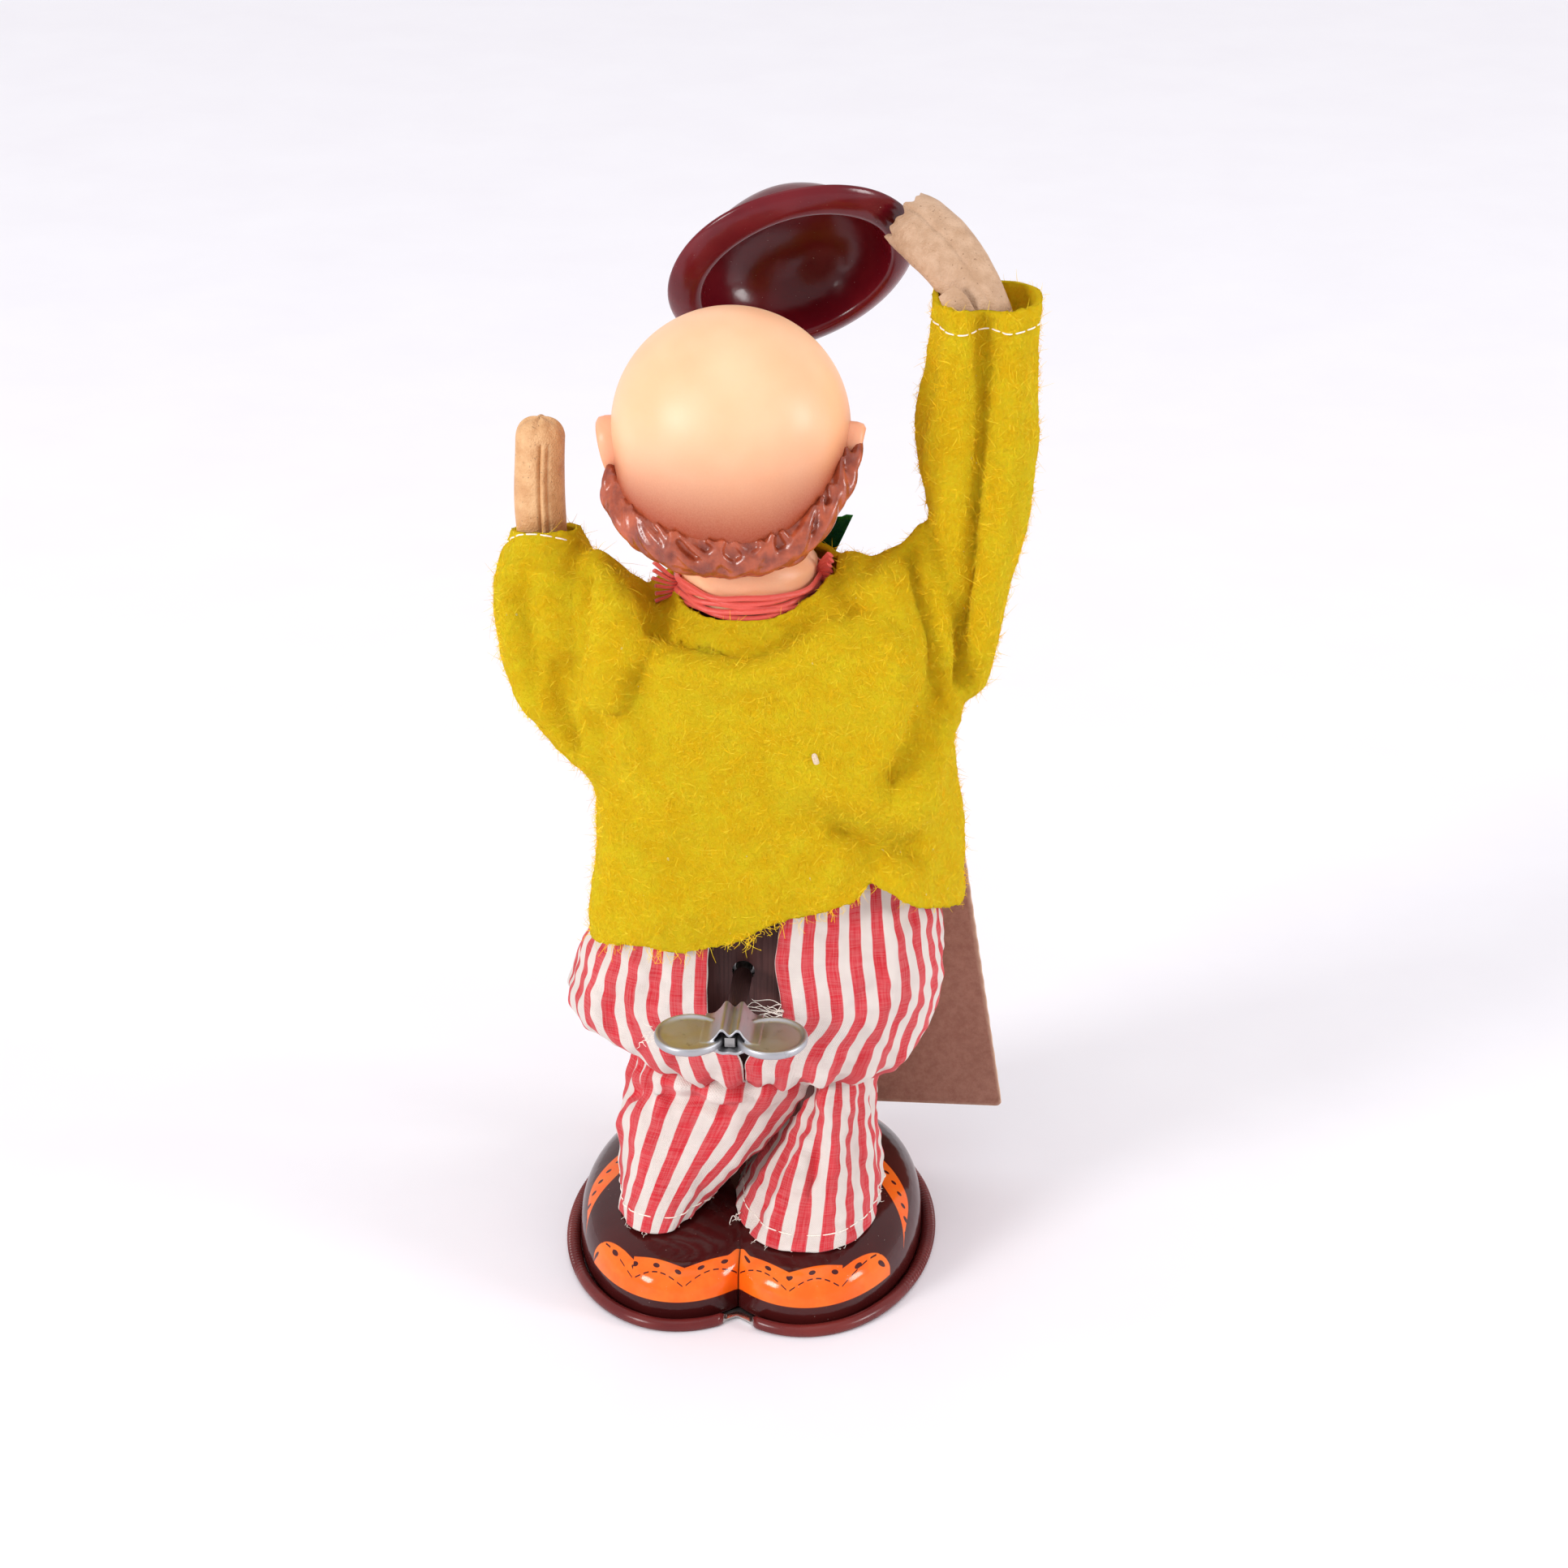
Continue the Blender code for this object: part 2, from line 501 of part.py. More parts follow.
def make_hat_arm(mats):
    arm = axis_empty("hat_arm_axis", (0, ARM_Y, ARM_Z))
    rod("right_arm_shaft", (-9.5, ARM_Y, ARM_Z), (42.0, ARM_Y, ARM_Z), SHAFT_R, mats["steel"], arm, 16)
    swept("right_arm", [(45.5, ARM_Y, ARM_Z - 3.5), (46, 8.5, 160), (47, 12, 180), (48, 18, 206)],
          [3.2, 3.2, 3.0, 3.0], mats["body_tin"], arm)
    pinch = HAT + (GRIP - HAT).normalized() * (BOWL_R + 4.2)
    path = [(48.3, 19.5, 206.5), (48.6, 21, 213), (47.6, 24.5, 219.5), (42.5, 30, 225.5),
            pinch - HAT_UP * 7.3 + Vector((2.5, 0, 0)), pinch - HAT_UP * 7.3 - Vector((3.5, 0, 0))]
    hand = swept("right_hand", path, [5.0, 5.3, 5.6, 5.6, 5.2, 4.8], mats["leatherette"], arm, 16, dome=3)
    profile = [(0.2, BOWL_R), (-0.9, BOWL_R + 2.2), (-1.6, BOWL_R + 4.6), (-0.9, HAT_R - 0.6), (0.4, HAT_R),
               (0.4, HAT_R - 0.9), (-0.5, HAT_R - 1.3), (-0.8, BOWL_R + 4.6), (0.0, BOWL_R + 2.2),
               (1.4, BOWL_R + 0.8)]
    dome = [math.radians(a) for a in (20, 38, 54, 68, 80, 88)]
    shape = 0.8
    outer = [(BOWL_H * math.sin(a), (BOWL_R + TIN) * math.cos(a) ** shape) for a in dome]
    inner = [((BOWL_H - TIN) * math.sin(a), BOWL_R * math.cos(a) ** shape - 0.02) for a in dome]
    hat = turned("hat", HAT, HAT_UP, inner[::-1] + profile + outer, mats["hat_tin"], arm, 32)
    for piece in (hat, hand):
        drill(piece, [(pinch - HAT_UP * 5.5, pinch + HAT_UP * 1.5, 0.95)], 12)
    turned("hat_rivet", pinch, HAT_UP, [(-4.5, 0.6), (-0.05, 0.6), (0.0, 1.2), (0.6, 1.2), (1.0, 0.7)],
           mats["brass"], arm, 12)
    ring = arc(ARM_Y, ARM_Z, 3.0, -100, 100, 20) + arc(0, ARM_Z, 1.8, 110, 250, 20)
    lever = loft("arm_lever", slab_x(ring, -1.2, 1.2), mats["steel"], arm)
    drill(lever, [((-3, ARM_Y, ARM_Z), (3, ARM_Y, ARM_Z), SHAFT_R + GAP),
                  ((-3, 0, ARM_Z), (3, 0, ARM_Z), 1.0)])
    rod("rod_pin", (-1.6, 0, ARM_Z), (3.2, 0, ARM_Z), 0.7, mats["steel"], arm, 12)
    swing = axis_empty("rod_axis", (0, 0, ARM_Z))
    foot_z = SECOND_Z + CAM_HIGH + 4.4
    strip = arc(0, ARM_Z, 1.8, -40, 220, 20)
    strip += [(-1.2, ARM_Z - 4), (-1.2, foot_z + 1), (-0.6, foot_z)]
    strip += [(0.6, foot_z), (1.2, foot_z + 1), (1.2, ARM_Z - 4)]
    lift = loft("lift_rod", slab_x(strip, 1.5, 2.7), mats["steel"], swing)
    drill(lift, [((0.5, 0, ARM_Z), (4, 0, ARM_Z), 1.0)])
    make_sleeve("right_sleeve", mats["felt"], arm,
                [(138.5, 48, 8, 5.5, 5.5), (141, 48, 8, 9, 9), (147, 48, 8, 11.6, 11),
                 (160, 48, 9.5, 12, 11.5), (180, 48, 13, 11.8, 11), (200, 48.3, 17, 11.2, 10),
                 (217.5, 48.5, 22, 11.6, 9.8)], 1)


def make_sleeve(name, mat, arm, sections, side):
    """A sleeve with a closed, rounded elbow, open at its cuff and where the shaft enters."""
    rings = []
    for thick, ordered in ((0.0, sections), (FELT, sections[::-1])):
        for z, x, y, rx, ry in ordered:
            lift = thick if z == sections[0][0] else 0.0
            side_x, side_y = rx - thick, ry - thick
            rings.append(oval(z + lift, x - side_x, x + side_x, y - side_y, y + side_y, 2.2, 20))
    sleeve = loft(name, rings, mat, arm)
    drill(sleeve, [((side * 30, ARM_Y, ARM_Z), (side * 43, ARM_Y, ARM_Z), 3.2)])


def make_left_arm(mats):
    arm = axis_empty("left_arm_axis", (0, ARM_Y, ARM_Z))
    rod("left_arm_shaft", (-40.0, ARM_Y, ARM_Z), (-10.5, ARM_Y, ARM_Z), SHAFT_R, mats["steel"], arm, 16)
    swept("left_arm", [(-43.6, ARM_Y, ARM_Z - 3.5), (-44, 8, 152), (-44.5, 7.2, 161.5)], [3.0, 3.0, 3.0],
          mats["body_tin"], arm)
    swept("left_hand", [(-44.8, 6.4, 162.2), (-45.1, 6, 172), (-45.0, 6, 182), (-44.6, 6.2, 188)],
          [4.9, 5.4, 5.4, 5.3], mats["leatherette"], arm, 16, dome=3)
    make_sleeve("left_sleeve", mats["felt"], arm,
                [(134.5, -46, 5, 5, 5), (137, -46, 5, 8, 9), (144, -45.5, 6, 9.8, 11.2),
                 (156, -45.4, 6.5, 9.6, 10.6), (164, -45.2, 6.2, 8.2, 8.8), (169.5, -45, 6, 7.4, 7.4)], -1)


def make_clothes(mats):
    def jacket_hem(x, y):
        return 74.0 + 13.0 * min(max((x + 30) / 60, 0.0), 1.0)

    jacket = cloth_tube("jacket_body", [
        (74, -36.8, 47, -30, 27.5), (98, -33.8, 46.5, -28.5, 25), (115, -33.5, 44.5, -26.5, 24),
        (124, -33.2, 43, -25.5, 24), (127.5, -33, 38, -25, 24), (130, -33, 33.2, -24.5, 24),
        (146, -33, 33.2, -23, 23), (152.5, -28, 28, -21, 21), (157, -19.5, 19.5, -18.6, 18.6)],
        FELT, mats["felt"], hem=jacket_hem)
    opening = slab_y([(8, 60), (28, 60), (27, 108), (9, 108)], 15, 40)
    boolean(jacket, loft("cutter_jacket_front", opening, None), "DIFFERENCE")
    drill(jacket, [((side * 26, ARM_Y, ARM_Z), (side * 36, ARM_Y, ARM_Z), 5.0) for side in (-1, 1)])
    seat = cloth_tube("trousers_seat", [
        (44.5, -26, 26, -21.5, 20.5), (50, -36, 34, -25, 22.5), (58, -40.5, 38.5, -26.5, 23),
        (66, -38.5, 41, -26.5, 23), (73, -34.6, 42.3, -26.5, 23), (80, -32.2, 41, -26, 23),
        (88, -30, 38, -24.5, 22), (93, -28, 35, -23, 22)], COTTON, mats["cotton"], power=2.6)
    opening = slab_y([(-8, 53), (6, 53), (6.5, 100), (-9, 100)], -40, -16)
    boolean(seat, loft("cutter_seat_opening", opening, None), "DIFFERENCE")

    def leg_hem(x, y):
        return shoe_height(x, y) + 0.6

    for name, x0, x1, knee0, knee1 in (("trousers_left_leg", -28.8, -2.2, -24.5, -2.0),
                                       ("trousers_right_leg", 1.2, 29.4, 2.0, 26.5)):
        cloth_tube(name, [(17, x0, x1, -24, 14), (22, x0 - 0.5, x1 + 0.3, -22.5, 13), (32, x0, x1, -20, 11),
                          (38, knee0, knee1, -18, 9), (44, knee0 - 1, knee1, -19, 11)],
                   COTTON, mats["cotton"], power=2.3, hem=leg_hem)


def make_neckwear(mats):
    rings = [circle((0, 0, z), (0, 0, 1), r, 32) for z, r in
             ((157.6, 15.6), (160.1, 15.9), (162.6, 15.8), (162.6, 15.0), (160.1, 15.1), (157.6, 14.9))]
    loft("neck_ribbon", rings, mats["satin"], tube=True)
    outline = []
    for side in (1, -1):
        for x, z in ((2.5, -2.2), (10, -4.5), (19, -6.5), (20.5, 0), (19, 6.0), (10, 4.2), (2.5, 2.2)):
            outline.append((side * x + 1.0, 162.5 + side * z))
    loft("bow_tie", slab_y(outline, 19.4, 22.6), mats["green_felt"])


def make_sign(mats):
    """A chipboard sign on a tin hinge that a bracket holds out through the jacket's front."""
    axis = axis_empty("sign_axis", (SIGN_X, PIN_Y, PIN_Z))
    rear = BODY_DEPTH + GAP
    knuckle = arc(PIN_Y, PIN_Z, KNUCKLE_R, -150, 150, 30)
    strip = knuckle + [(rear + TIN, PIN_Z + 0.6), (rear + TIN, PIN_Z + 1.4), (rear, PIN_Z + 1.4),
                       (rear, PIN_Z - 4.6), (rear + TIN, PIN_Z - 4.6), (rear + TIN, PIN_Z - 0.6)]
    bore = ((0, PIN_Y, PIN_Z), (36, PIN_Y, PIN_Z), PIN_R + GAP)
    bracket = loft("sign_bracket", slab_x(strip, SIGN_X - 6, SIGN_X + 6), mats["steel"])
    drill(bracket, [bore], 12)
    leaf_y = SIGN_Y - CARD / 2 - GAP
    leaf = arc(PIN_Y, PIN_Z, KNUCKLE_R, -20, 240, 26)
    leaf += [(leaf_y - TIN, PIN_Z - 2.2), (leaf_y - TIN, 88), (leaf_y, 88)]
    clip = loft("sign_clip", slab_x(leaf, SIGN_X - 8.6, SIGN_X + 8.6), mats["steel"], axis)
    gap = slab_x([(24, PIN_Z - 2.4), (36, PIN_Z - 2.4), (36, 110), (24, 110)], SIGN_X - 6.3, SIGN_X + 6.3)
    boolean(clip, loft("cutter_clip_gap", gap, None), "DIFFERENCE")
    drill(clip, [bore], 12)
    rod("sign_pin", (SIGN_X - 9, PIN_Y, PIN_Z), (SIGN_X + 9, PIN_Y, PIN_Z), PIN_R, mats["brass"], None, 12)
    foot, top = SIGN_FOOT_WIDTH / 2, SIGN_TOP_WIDTH / 2
    outline = [(SIGN_X - foot, SIGN_FOOT), (SIGN_X + foot, SIGN_FOOT), (SIGN_X + top, SIGN_TOP),
               (SIGN_X - top, SIGN_TOP)]
    loft("sign_card", slab_y(outline, SIGN_Y - CARD / 2, SIGN_Y + CARD / 2), mats["card"], axis)


def build():
    reset()
    mats = {
        "shoe_tin": material("shoe_tin", (0.045, 0.014, 0.012), 0.15),
        "rim_tin": material("rim_tin", (0.10, 0.025, 0.022), 0.3),
        "body_tin": material("body_tin", (0.12, 0.055, 0.045), 0.4),
        "hat_tin": material("hat_tin", (0.13, 0.012, 0.018), 0.15),
        "steel": material("steel", (0.55, 0.55, 0.56), 0.35, 1.0),
        "brass": material("brass", (0.75, 0.55, 0.25), 0.3, 1.0),
        "chrome": material("chrome", (0.8, 0.8, 0.8), 0.12, 1.0),
        "key_stem": material("key_stem", (0.05, 0.025, 0.02), 0.5, 0.3),
        "skin": material("skin", (0.95, 0.58, 0.34), 0.4),
        "leatherette": material("leatherette", (0.60, 0.40, 0.22), 0.5),
        "felt": material("felt", (0.93, 0.66, 0.01), 0.95),
        "cotton": material("cotton", (0.75, 0.25, 0.22), 0.9),
        "satin": material("satin", (0.75, 0.06, 0.05), 0.35),
        "green_felt": material("green_felt", (0.005, 0.07, 0.03), 0.9),
        "card": material("card", (0.30, 0.16, 0.10), 0.85),
    }
    make_shoes(mats)
    make_body(mats)
    make_motor(mats)
    make_key(mats)
    make_train(mats)
    make_head(mats)
    make_hat_arm(mats)
    make_left_arm(mats)
    make_clothes(mats)
    make_neckwear(mats)
    make_sign(mats)
    bpy.context.view_layer.update()


build()
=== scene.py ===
"""Looks of the wind-up tin toy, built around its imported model.

Lengths are in millimetres, and put() turns them into metres. The figure stands on Z = 0 and faces +Y.
"""
import json
import math

import bmesh
import bpy
import numpy as np
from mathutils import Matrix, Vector
from mathutils.bvhtree import BVHTree


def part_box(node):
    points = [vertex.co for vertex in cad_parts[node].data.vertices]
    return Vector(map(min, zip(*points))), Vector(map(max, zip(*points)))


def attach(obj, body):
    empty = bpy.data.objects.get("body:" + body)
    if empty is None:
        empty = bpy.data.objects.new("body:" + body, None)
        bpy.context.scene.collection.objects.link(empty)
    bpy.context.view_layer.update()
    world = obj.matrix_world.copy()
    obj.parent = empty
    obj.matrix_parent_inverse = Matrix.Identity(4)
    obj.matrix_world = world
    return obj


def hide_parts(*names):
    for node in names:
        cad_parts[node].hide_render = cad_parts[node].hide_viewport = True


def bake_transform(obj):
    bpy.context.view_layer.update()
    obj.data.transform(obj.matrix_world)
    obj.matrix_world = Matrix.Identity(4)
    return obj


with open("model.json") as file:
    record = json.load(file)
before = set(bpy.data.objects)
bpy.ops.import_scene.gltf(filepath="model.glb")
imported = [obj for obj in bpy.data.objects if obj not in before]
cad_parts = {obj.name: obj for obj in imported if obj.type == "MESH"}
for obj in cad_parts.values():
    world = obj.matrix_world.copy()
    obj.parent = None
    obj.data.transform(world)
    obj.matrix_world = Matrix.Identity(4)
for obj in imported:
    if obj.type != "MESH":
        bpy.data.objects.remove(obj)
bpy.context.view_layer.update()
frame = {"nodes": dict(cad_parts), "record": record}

MM = 0.001
SEED = 7

# Shoes: two overlapping ellipses, one for each shoe
SHOE_X, SHOE_A, SHOE_B = 14.0, 28.0, 45.0
RIM, SHELL_FOOT, SHELL_RISE = 3.3, 1.1, 15.0

# Head and neck
HEAD = np.array((-3.7, 0.0, 194.5))
HEAD_R, NECK_R, NECK_Z = 25.0, 14.5, 158.6
FACE_TURN = math.radians(14.0)      # how far the face looks towards +X

# Hat
HAT = Vector((6.4, 44.1, 213.8))
HAT_UP = Vector((-0.322, 0.755, 0.573)).normalized()
BOWL_R, BOWL_H = 21.0, 16.4

KEY_Z = 76.0
STRIPE = 5.3                        # one red and one white stripe of the trousers


# ---------------------------------------------------------------- shader helpers

def rgb(r, g, b):
    """A colour given as 0-255 screen values, in linear light."""
    return tuple(((c / 255 + 0.055) / 1.055) ** 2.4 if c > 10 else c / 3294.6 for c in (r, g, b)) + (1.0,)


def plug(slot, value):
    if isinstance(value, Wire):
        slot.id_data.links.new(value.socket, slot)
    else:
        slot.default_value = value


class Wire:
    """A value in a shader that plain arithmetic works on."""

    def __init__(self, socket):
        self.socket = socket

    def do(self, operation, *others, first=None):
        node = self.socket.id_data.nodes.new("ShaderNodeMath")
        node.operation = operation
        values = (self, *others) if first is None else (first, self)
        for slot, value in zip(node.inputs, values):
            plug(slot, value)
        return Wire(node.outputs[0])

    def __add__(self, other):
        return self.do("ADD", other)

    def __sub__(self, other):
        return self.do("SUBTRACT", other)

    def __rsub__(self, other):
        return self.do("SUBTRACT", first=other)

    def __mul__(self, other):
        return self.do("MULTIPLY", other)

    def __truediv__(self, other):
        return self.do("DIVIDE", other)

    def __pow__(self, other):
        return self.do("POWER", other)

    __radd__, __rmul__ = __add__, __mul__

    def smooth(self, low, high):
        """0 below low, 1 above high, and smooth between them."""
        node = self.socket.id_data.nodes.new("ShaderNodeMapRange")
        node.interpolation_type = "SMOOTHSTEP"
        for name, value in (("Value", self), ("From Min", low), ("From Max", high)):
            plug(node.inputs[name], value)
        return Wire(node.outputs[0])

    def near(self, width, soft):
        """1 within width of zero, fading out over soft."""
        return 1.0 - self.do("ABSOLUTE").smooth(width, width + soft)


class Look:
    """A procedural material: a Principled shader and the nodes that feed it."""

    def __init__(self, name, sockets):
        self.mat = bpy.data.materials.new(name)
        self.mat.use_nodes = True
        self.tree = self.mat.node_tree
        self.shader = self.tree.nodes["Principled BSDF"]
        self.set(sockets)

    def set(self, sockets):
        for name, value in sockets.items():
            plug(self.shader.inputs[name], value)

    def node(self, kind, sockets, output=0, **settings):
        node = self.tree.nodes.new(kind)
        for name, value in settings.items():
            setattr(node, name, value)
        for name, value in sockets.items():
            plug(node.inputs[name], value)
        return Wire(node.outputs[output])

    def place(self, stretch=(1.0, 1.0, 1.0), attribute=None):
        """Object coordinates in mm, or an attribute of the mesh."""
        if attribute:
            source, size = self.node("ShaderNodeAttribute", {}, "Vector", attribute_name=attribute), 1.0
        else:
            source, size = self.node("ShaderNodeTexCoord", {}, "Object"), 1 / MM
        return self.node("ShaderNodeMapping", {"Vector": source, "Scale": [size * s for s in stretch]})

    def split(self, vector):
        node = self.tree.nodes.new("ShaderNodeSeparateXYZ")
        plug(node.inputs[0], vector)
        return [Wire(output) for output in node.outputs]

    def value(self, attribute):
        return self.node("ShaderNodeAttribute", {}, "Fac", attribute_name=attribute)

    def noise(self, vector, scale, detail=3.0, rough=0.6, twist=0.0):
        sockets = {"Vector": vector, "Scale": scale, "Detail": detail, "Roughness": rough,
                   "Distortion": twist}
        return self.node("ShaderNodeTexNoise", sockets)

    def mix(self, share, first, second):
        node = self.tree.nodes.new("ShaderNodeMix")
        node.data_type = "RGBA"
        for index, value in ((0, share), (6, first), (7, second)):
            plug(node.inputs[index], value)
        return Wire(node.outputs[2])

    def bump(self, *layers):
        """Layers of (height, depth in mm) on the normal."""
        normal = None
        for height, depth in layers:
            sockets = {"Height": height, "Distance": depth * MM, "Strength": 1.0}
            if normal:
                sockets["Normal"] = normal
            normal = self.node("ShaderNodeBump", sockets)
        self.set({"Normal": normal})


# ---------------------------------------------------------------- mesh helpers

def put(name, points, faces, look, body=None, slot=None, uv=None, sharp=35.0):
    """A piece from points in mm."""
    mesh = bpy.data.meshes.new(name)
    points = np.asarray(points, float).reshape(-1, 3)
    mesh.from_pydata((points * MM).tolist(), [], [tuple(int(i) for i in f) for f in faces])
    obj = bpy.data.objects.new(name, mesh)
    bpy.context.scene.collection.objects.link(obj)
    if uv is not None:
        layer = mesh.uv_layers.new(name="UVMap")
        layer.data.foreach_set("uv", np.asarray(uv, np.float32).ravel())
    mesh.materials.append(look.mat)
    if sharp:
        mesh.shade_smooth()
        mesh.set_sharp_from_angle(angle=math.radians(sharp))
    if body:
        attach(obj, body)
    return obj


def keep_rest(obj):
    """Keep each point's rest place in mm, so that a pattern doesn't slide when the piece bends."""
    mesh = obj.data
    place = mesh.attributes.get("rest") or mesh.attributes.new("rest", "FLOAT_VECTOR", "POINT")
    place.data.foreach_set("vector", (points_of(obj) / 1.0).ravel().astype(np.float32))


def points_of(obj):
    flat = np.empty(len(obj.data.vertices) * 3)
    obj.data.vertices.foreach_get("co", flat)
    return flat.reshape(-1, 3) / MM


def move_points(obj, points):
    obj.data.vertices.foreach_set("co", (points * MM).ravel())
    obj.data.update()


def normals_of(obj):
    flat = np.empty(len(obj.data.vertices) * 3)
    obj.data.vertices.foreach_get("normal", flat)
    return flat.reshape(-1, 3)


def mark(obj, name, values):
    """A number for each point, for the materials."""
    layer = obj.data.attributes.new(name, "FLOAT", "POINT")
    layer.data.foreach_set("value", np.asarray(values, np.float32))


def grid_faces(rows, cols, wrap=True, start=0):
    faces = []
    for r in range(rows - 1):
        for c in range(cols if wrap else cols - 1):
            n = (c + 1) % cols
            faces.append((start + r * cols + c, start + r * cols + n,
                          start + (r + 1) * cols + n, start + (r + 1) * cols + c))
    return faces


def outward(points, faces):
    """Faces turned so that a closed mesh has a positive volume."""
    volume = 0.0
    for face in faces:
        a = points[face[0]]
        for i in range(1, len(face) - 1):
            volume += np.dot(a, np.cross(points[face[i]], points[face[i + 1]]))
    return faces if volume > 0 else [face[::-1] for face in faces]


def lofted(rings, closed_ends=True, wrap=True):
    """Points and faces through rings of equal length."""
    rows, cols = len(rings), len(rings[0])
    points = np.asarray(rings, float).reshape(-1, 3)
    faces = grid_faces(rows, cols, wrap)
    if closed_ends:
        faces.append(tuple(range(cols))[::-1])
        faces.append(tuple(range((rows - 1) * cols, rows * cols)))
        faces = outward(points, faces)
    return points, faces


def frame_of(direction):
    d = Vector(direction).normalized()
    side = d.cross(Vector((0, 0, 1)))
    if side.length < 0.1:
        side = Vector((1, 0, 0))
    side.normalize()
    return np.array(side), np.array(d.cross(side)), np.array(d)


def turned(name, centre, direction, profile, look, count=128, **placing):
    """A closed piece turned about a direction, from (height, radius) points."""
    side, up, d = frame_of(direction)
    turns = np.linspace(0, 2 * math.pi, count, endpoint=False)
    round_points = np.outer(np.cos(turns), side) + np.outer(np.sin(turns), up)
    rings = [np.asarray(centre) + d * h + round_points * r for h, r in profile]
    points, faces = lofted(rings)
    return put(name, points, faces, look, **placing)


def smooth_line(points, count):
    """Points evenly spaced along a smooth curve through the given ones."""
    p = np.asarray(points, float)
    p = np.vstack([2 * p[0] - p[1], p, 2 * p[-1] - p[-2]])
    curve = []
    for i in range(1, len(p) - 2):
        for t in np.linspace(0, 1, 24, endpoint=False):
            a, b, c, d = p[i - 1:i + 3]
            curve.append(0.5 * (2 * b + (c - a) * t + (2 * a - 5 * b + 4 * c - d) * t * t
                                + (3 * b - a - 3 * c + d) * t ** 3))
    curve = np.array(curve + [p[-2]])
    reach = np.concatenate([[0], np.cumsum(np.linalg.norm(np.diff(curve, axis=0), axis=1))])
    wanted = np.linspace(0, reach[-1], count)
    return np.column_stack([np.interp(wanted, reach, curve[:, k]) for k in range(p.shape[1])])


def tube(path, radii, count=16, flat=1.0, normal=None):
    """Points and faces of a closed tube; flat squeezes it along the normal."""
    path = np.asarray(path, float)
    tangents = np.gradient(path, axis=0)
    tangents /= np.linalg.norm(tangents, axis=1)[:, None]
    turns = np.linspace(0, 2 * math.pi, count, endpoint=False)
    side = np.cross(tangents[0], (0.31, 0.77, 0.55) if normal is None else normal)
    rings = []
    for i, (point, along) in enumerate(zip(path, tangents)):
        if normal is not None:
            side = np.cross(along, normal if np.ndim(normal) == 1 else normal[i])
        side = side - along * side.dot(along)
        side /= np.linalg.norm(side)
        other = np.cross(along, side)
        r = radii[i] if np.ndim(radii) else radii
        rings.append(point + np.outer(np.cos(turns), side) * r + np.outer(np.sin(turns), other) * r * flat)
    return lofted(rings)


def joined(parts):
    """One set of points and faces from several."""
    points, faces, start = [], [], 0
    for p, f in parts:
        points.append(p)
        faces += [tuple(start + i for i in face) for face in f]
        start += len(p)
    return np.vstack(points), faces


def fused(parts, voxel, rounds):
    """One closed skin around several overlapping solids, with its joints smoothed."""
    points, faces = joined(parts)
    mesh = bpy.data.meshes.new("fusing")
    mesh.from_pydata((points * MM).tolist(), [], faces)
    obj = bpy.data.objects.new("fusing", mesh)
    bpy.context.scene.collection.objects.link(obj)
    remesh = obj.modifiers.new("skin", "REMESH")
    remesh.mode, remesh.voxel_size = "VOXEL", voxel * MM
    if rounds:
        soften = obj.modifiers.new("soften", "SMOOTH")
        soften.factor, soften.iterations = 0.5, rounds
    skin = bpy.data.meshes.new_from_object(obj.evaluated_get(bpy.context.evaluated_depsgraph_get()))
    flat = np.empty(len(skin.vertices) * 3)
    skin.vertices.foreach_get("co", flat)
    made = [tuple(f.vertices) for f in skin.polygons]
    bpy.data.objects.remove(obj)
    bpy.data.meshes.remove(skin)
    return flat.reshape(-1, 3) / MM, made


def sculpt(obj, strokes, snap=False):
    """Press grooves (negative) or raise ridges along polylines, given as (points, width, height)."""
    tree = BVHTree.FromPolygons(points_of(obj).tolist(), [tuple(f.vertices) for f in obj.data.polygons])
    for line, width, height in strokes:
        path = smooth_line(line, 40)
        if snap:
            path = np.array([tree.find_nearest(Vector(q))[0] for q in path])
        p, n = points_of(obj), normals_of(obj)
        near = np.full(len(p), 1e9)
        for a, b in zip(path[:-1], path[1:]):
            along = b - a
            t = np.clip((p - a) @ along / max(along @ along, 1e-9), 0, 1)
            near = np.minimum(near, ((p - a - t[:, None] * along) ** 2).sum(axis=1))
        move_points(obj, p + n * (height * np.exp(-near / width ** 2))[:, None])


def ripple(points, size, seed):
    """Smooth random numbers in space, about -1 to 1: a few waves with seeded directions."""
    rng = np.random.default_rng(seed)
    total = np.zeros(len(points))
    for _ in range(9):
        wave = rng.normal(size=3)
        wave *= 2 * math.pi / size / np.linalg.norm(wave) * rng.uniform(0.6, 1.4)
        total += np.sin(points @ wave + rng.uniform(0, 2 * math.pi))
    return total / 3.0


def use_modifier(obj, kind, **settings):
    """Add a modifier and apply it."""
    modifier = obj.modifiers.new(kind.lower(), kind)
    for name, value in settings.items():
        setattr(modifier, name, value)
    done = bpy.data.meshes.new_from_object(obj.evaluated_get(bpy.context.evaluated_depsgraph_get()))
    obj.modifiers.clear()
    obj.data = done
    return obj


def soften(obj, rounds):
    """Smooth the mesh a little."""
    bm = bmesh.new()
    bm.from_mesh(obj.data)
    for _ in range(rounds):
        bmesh.ops.smooth_vert(bm, verts=bm.verts, factor=0.5, use_axis_x=True, use_axis_y=True,
                              use_axis_z=True)
    bm.to_mesh(obj.data)
    bm.free()


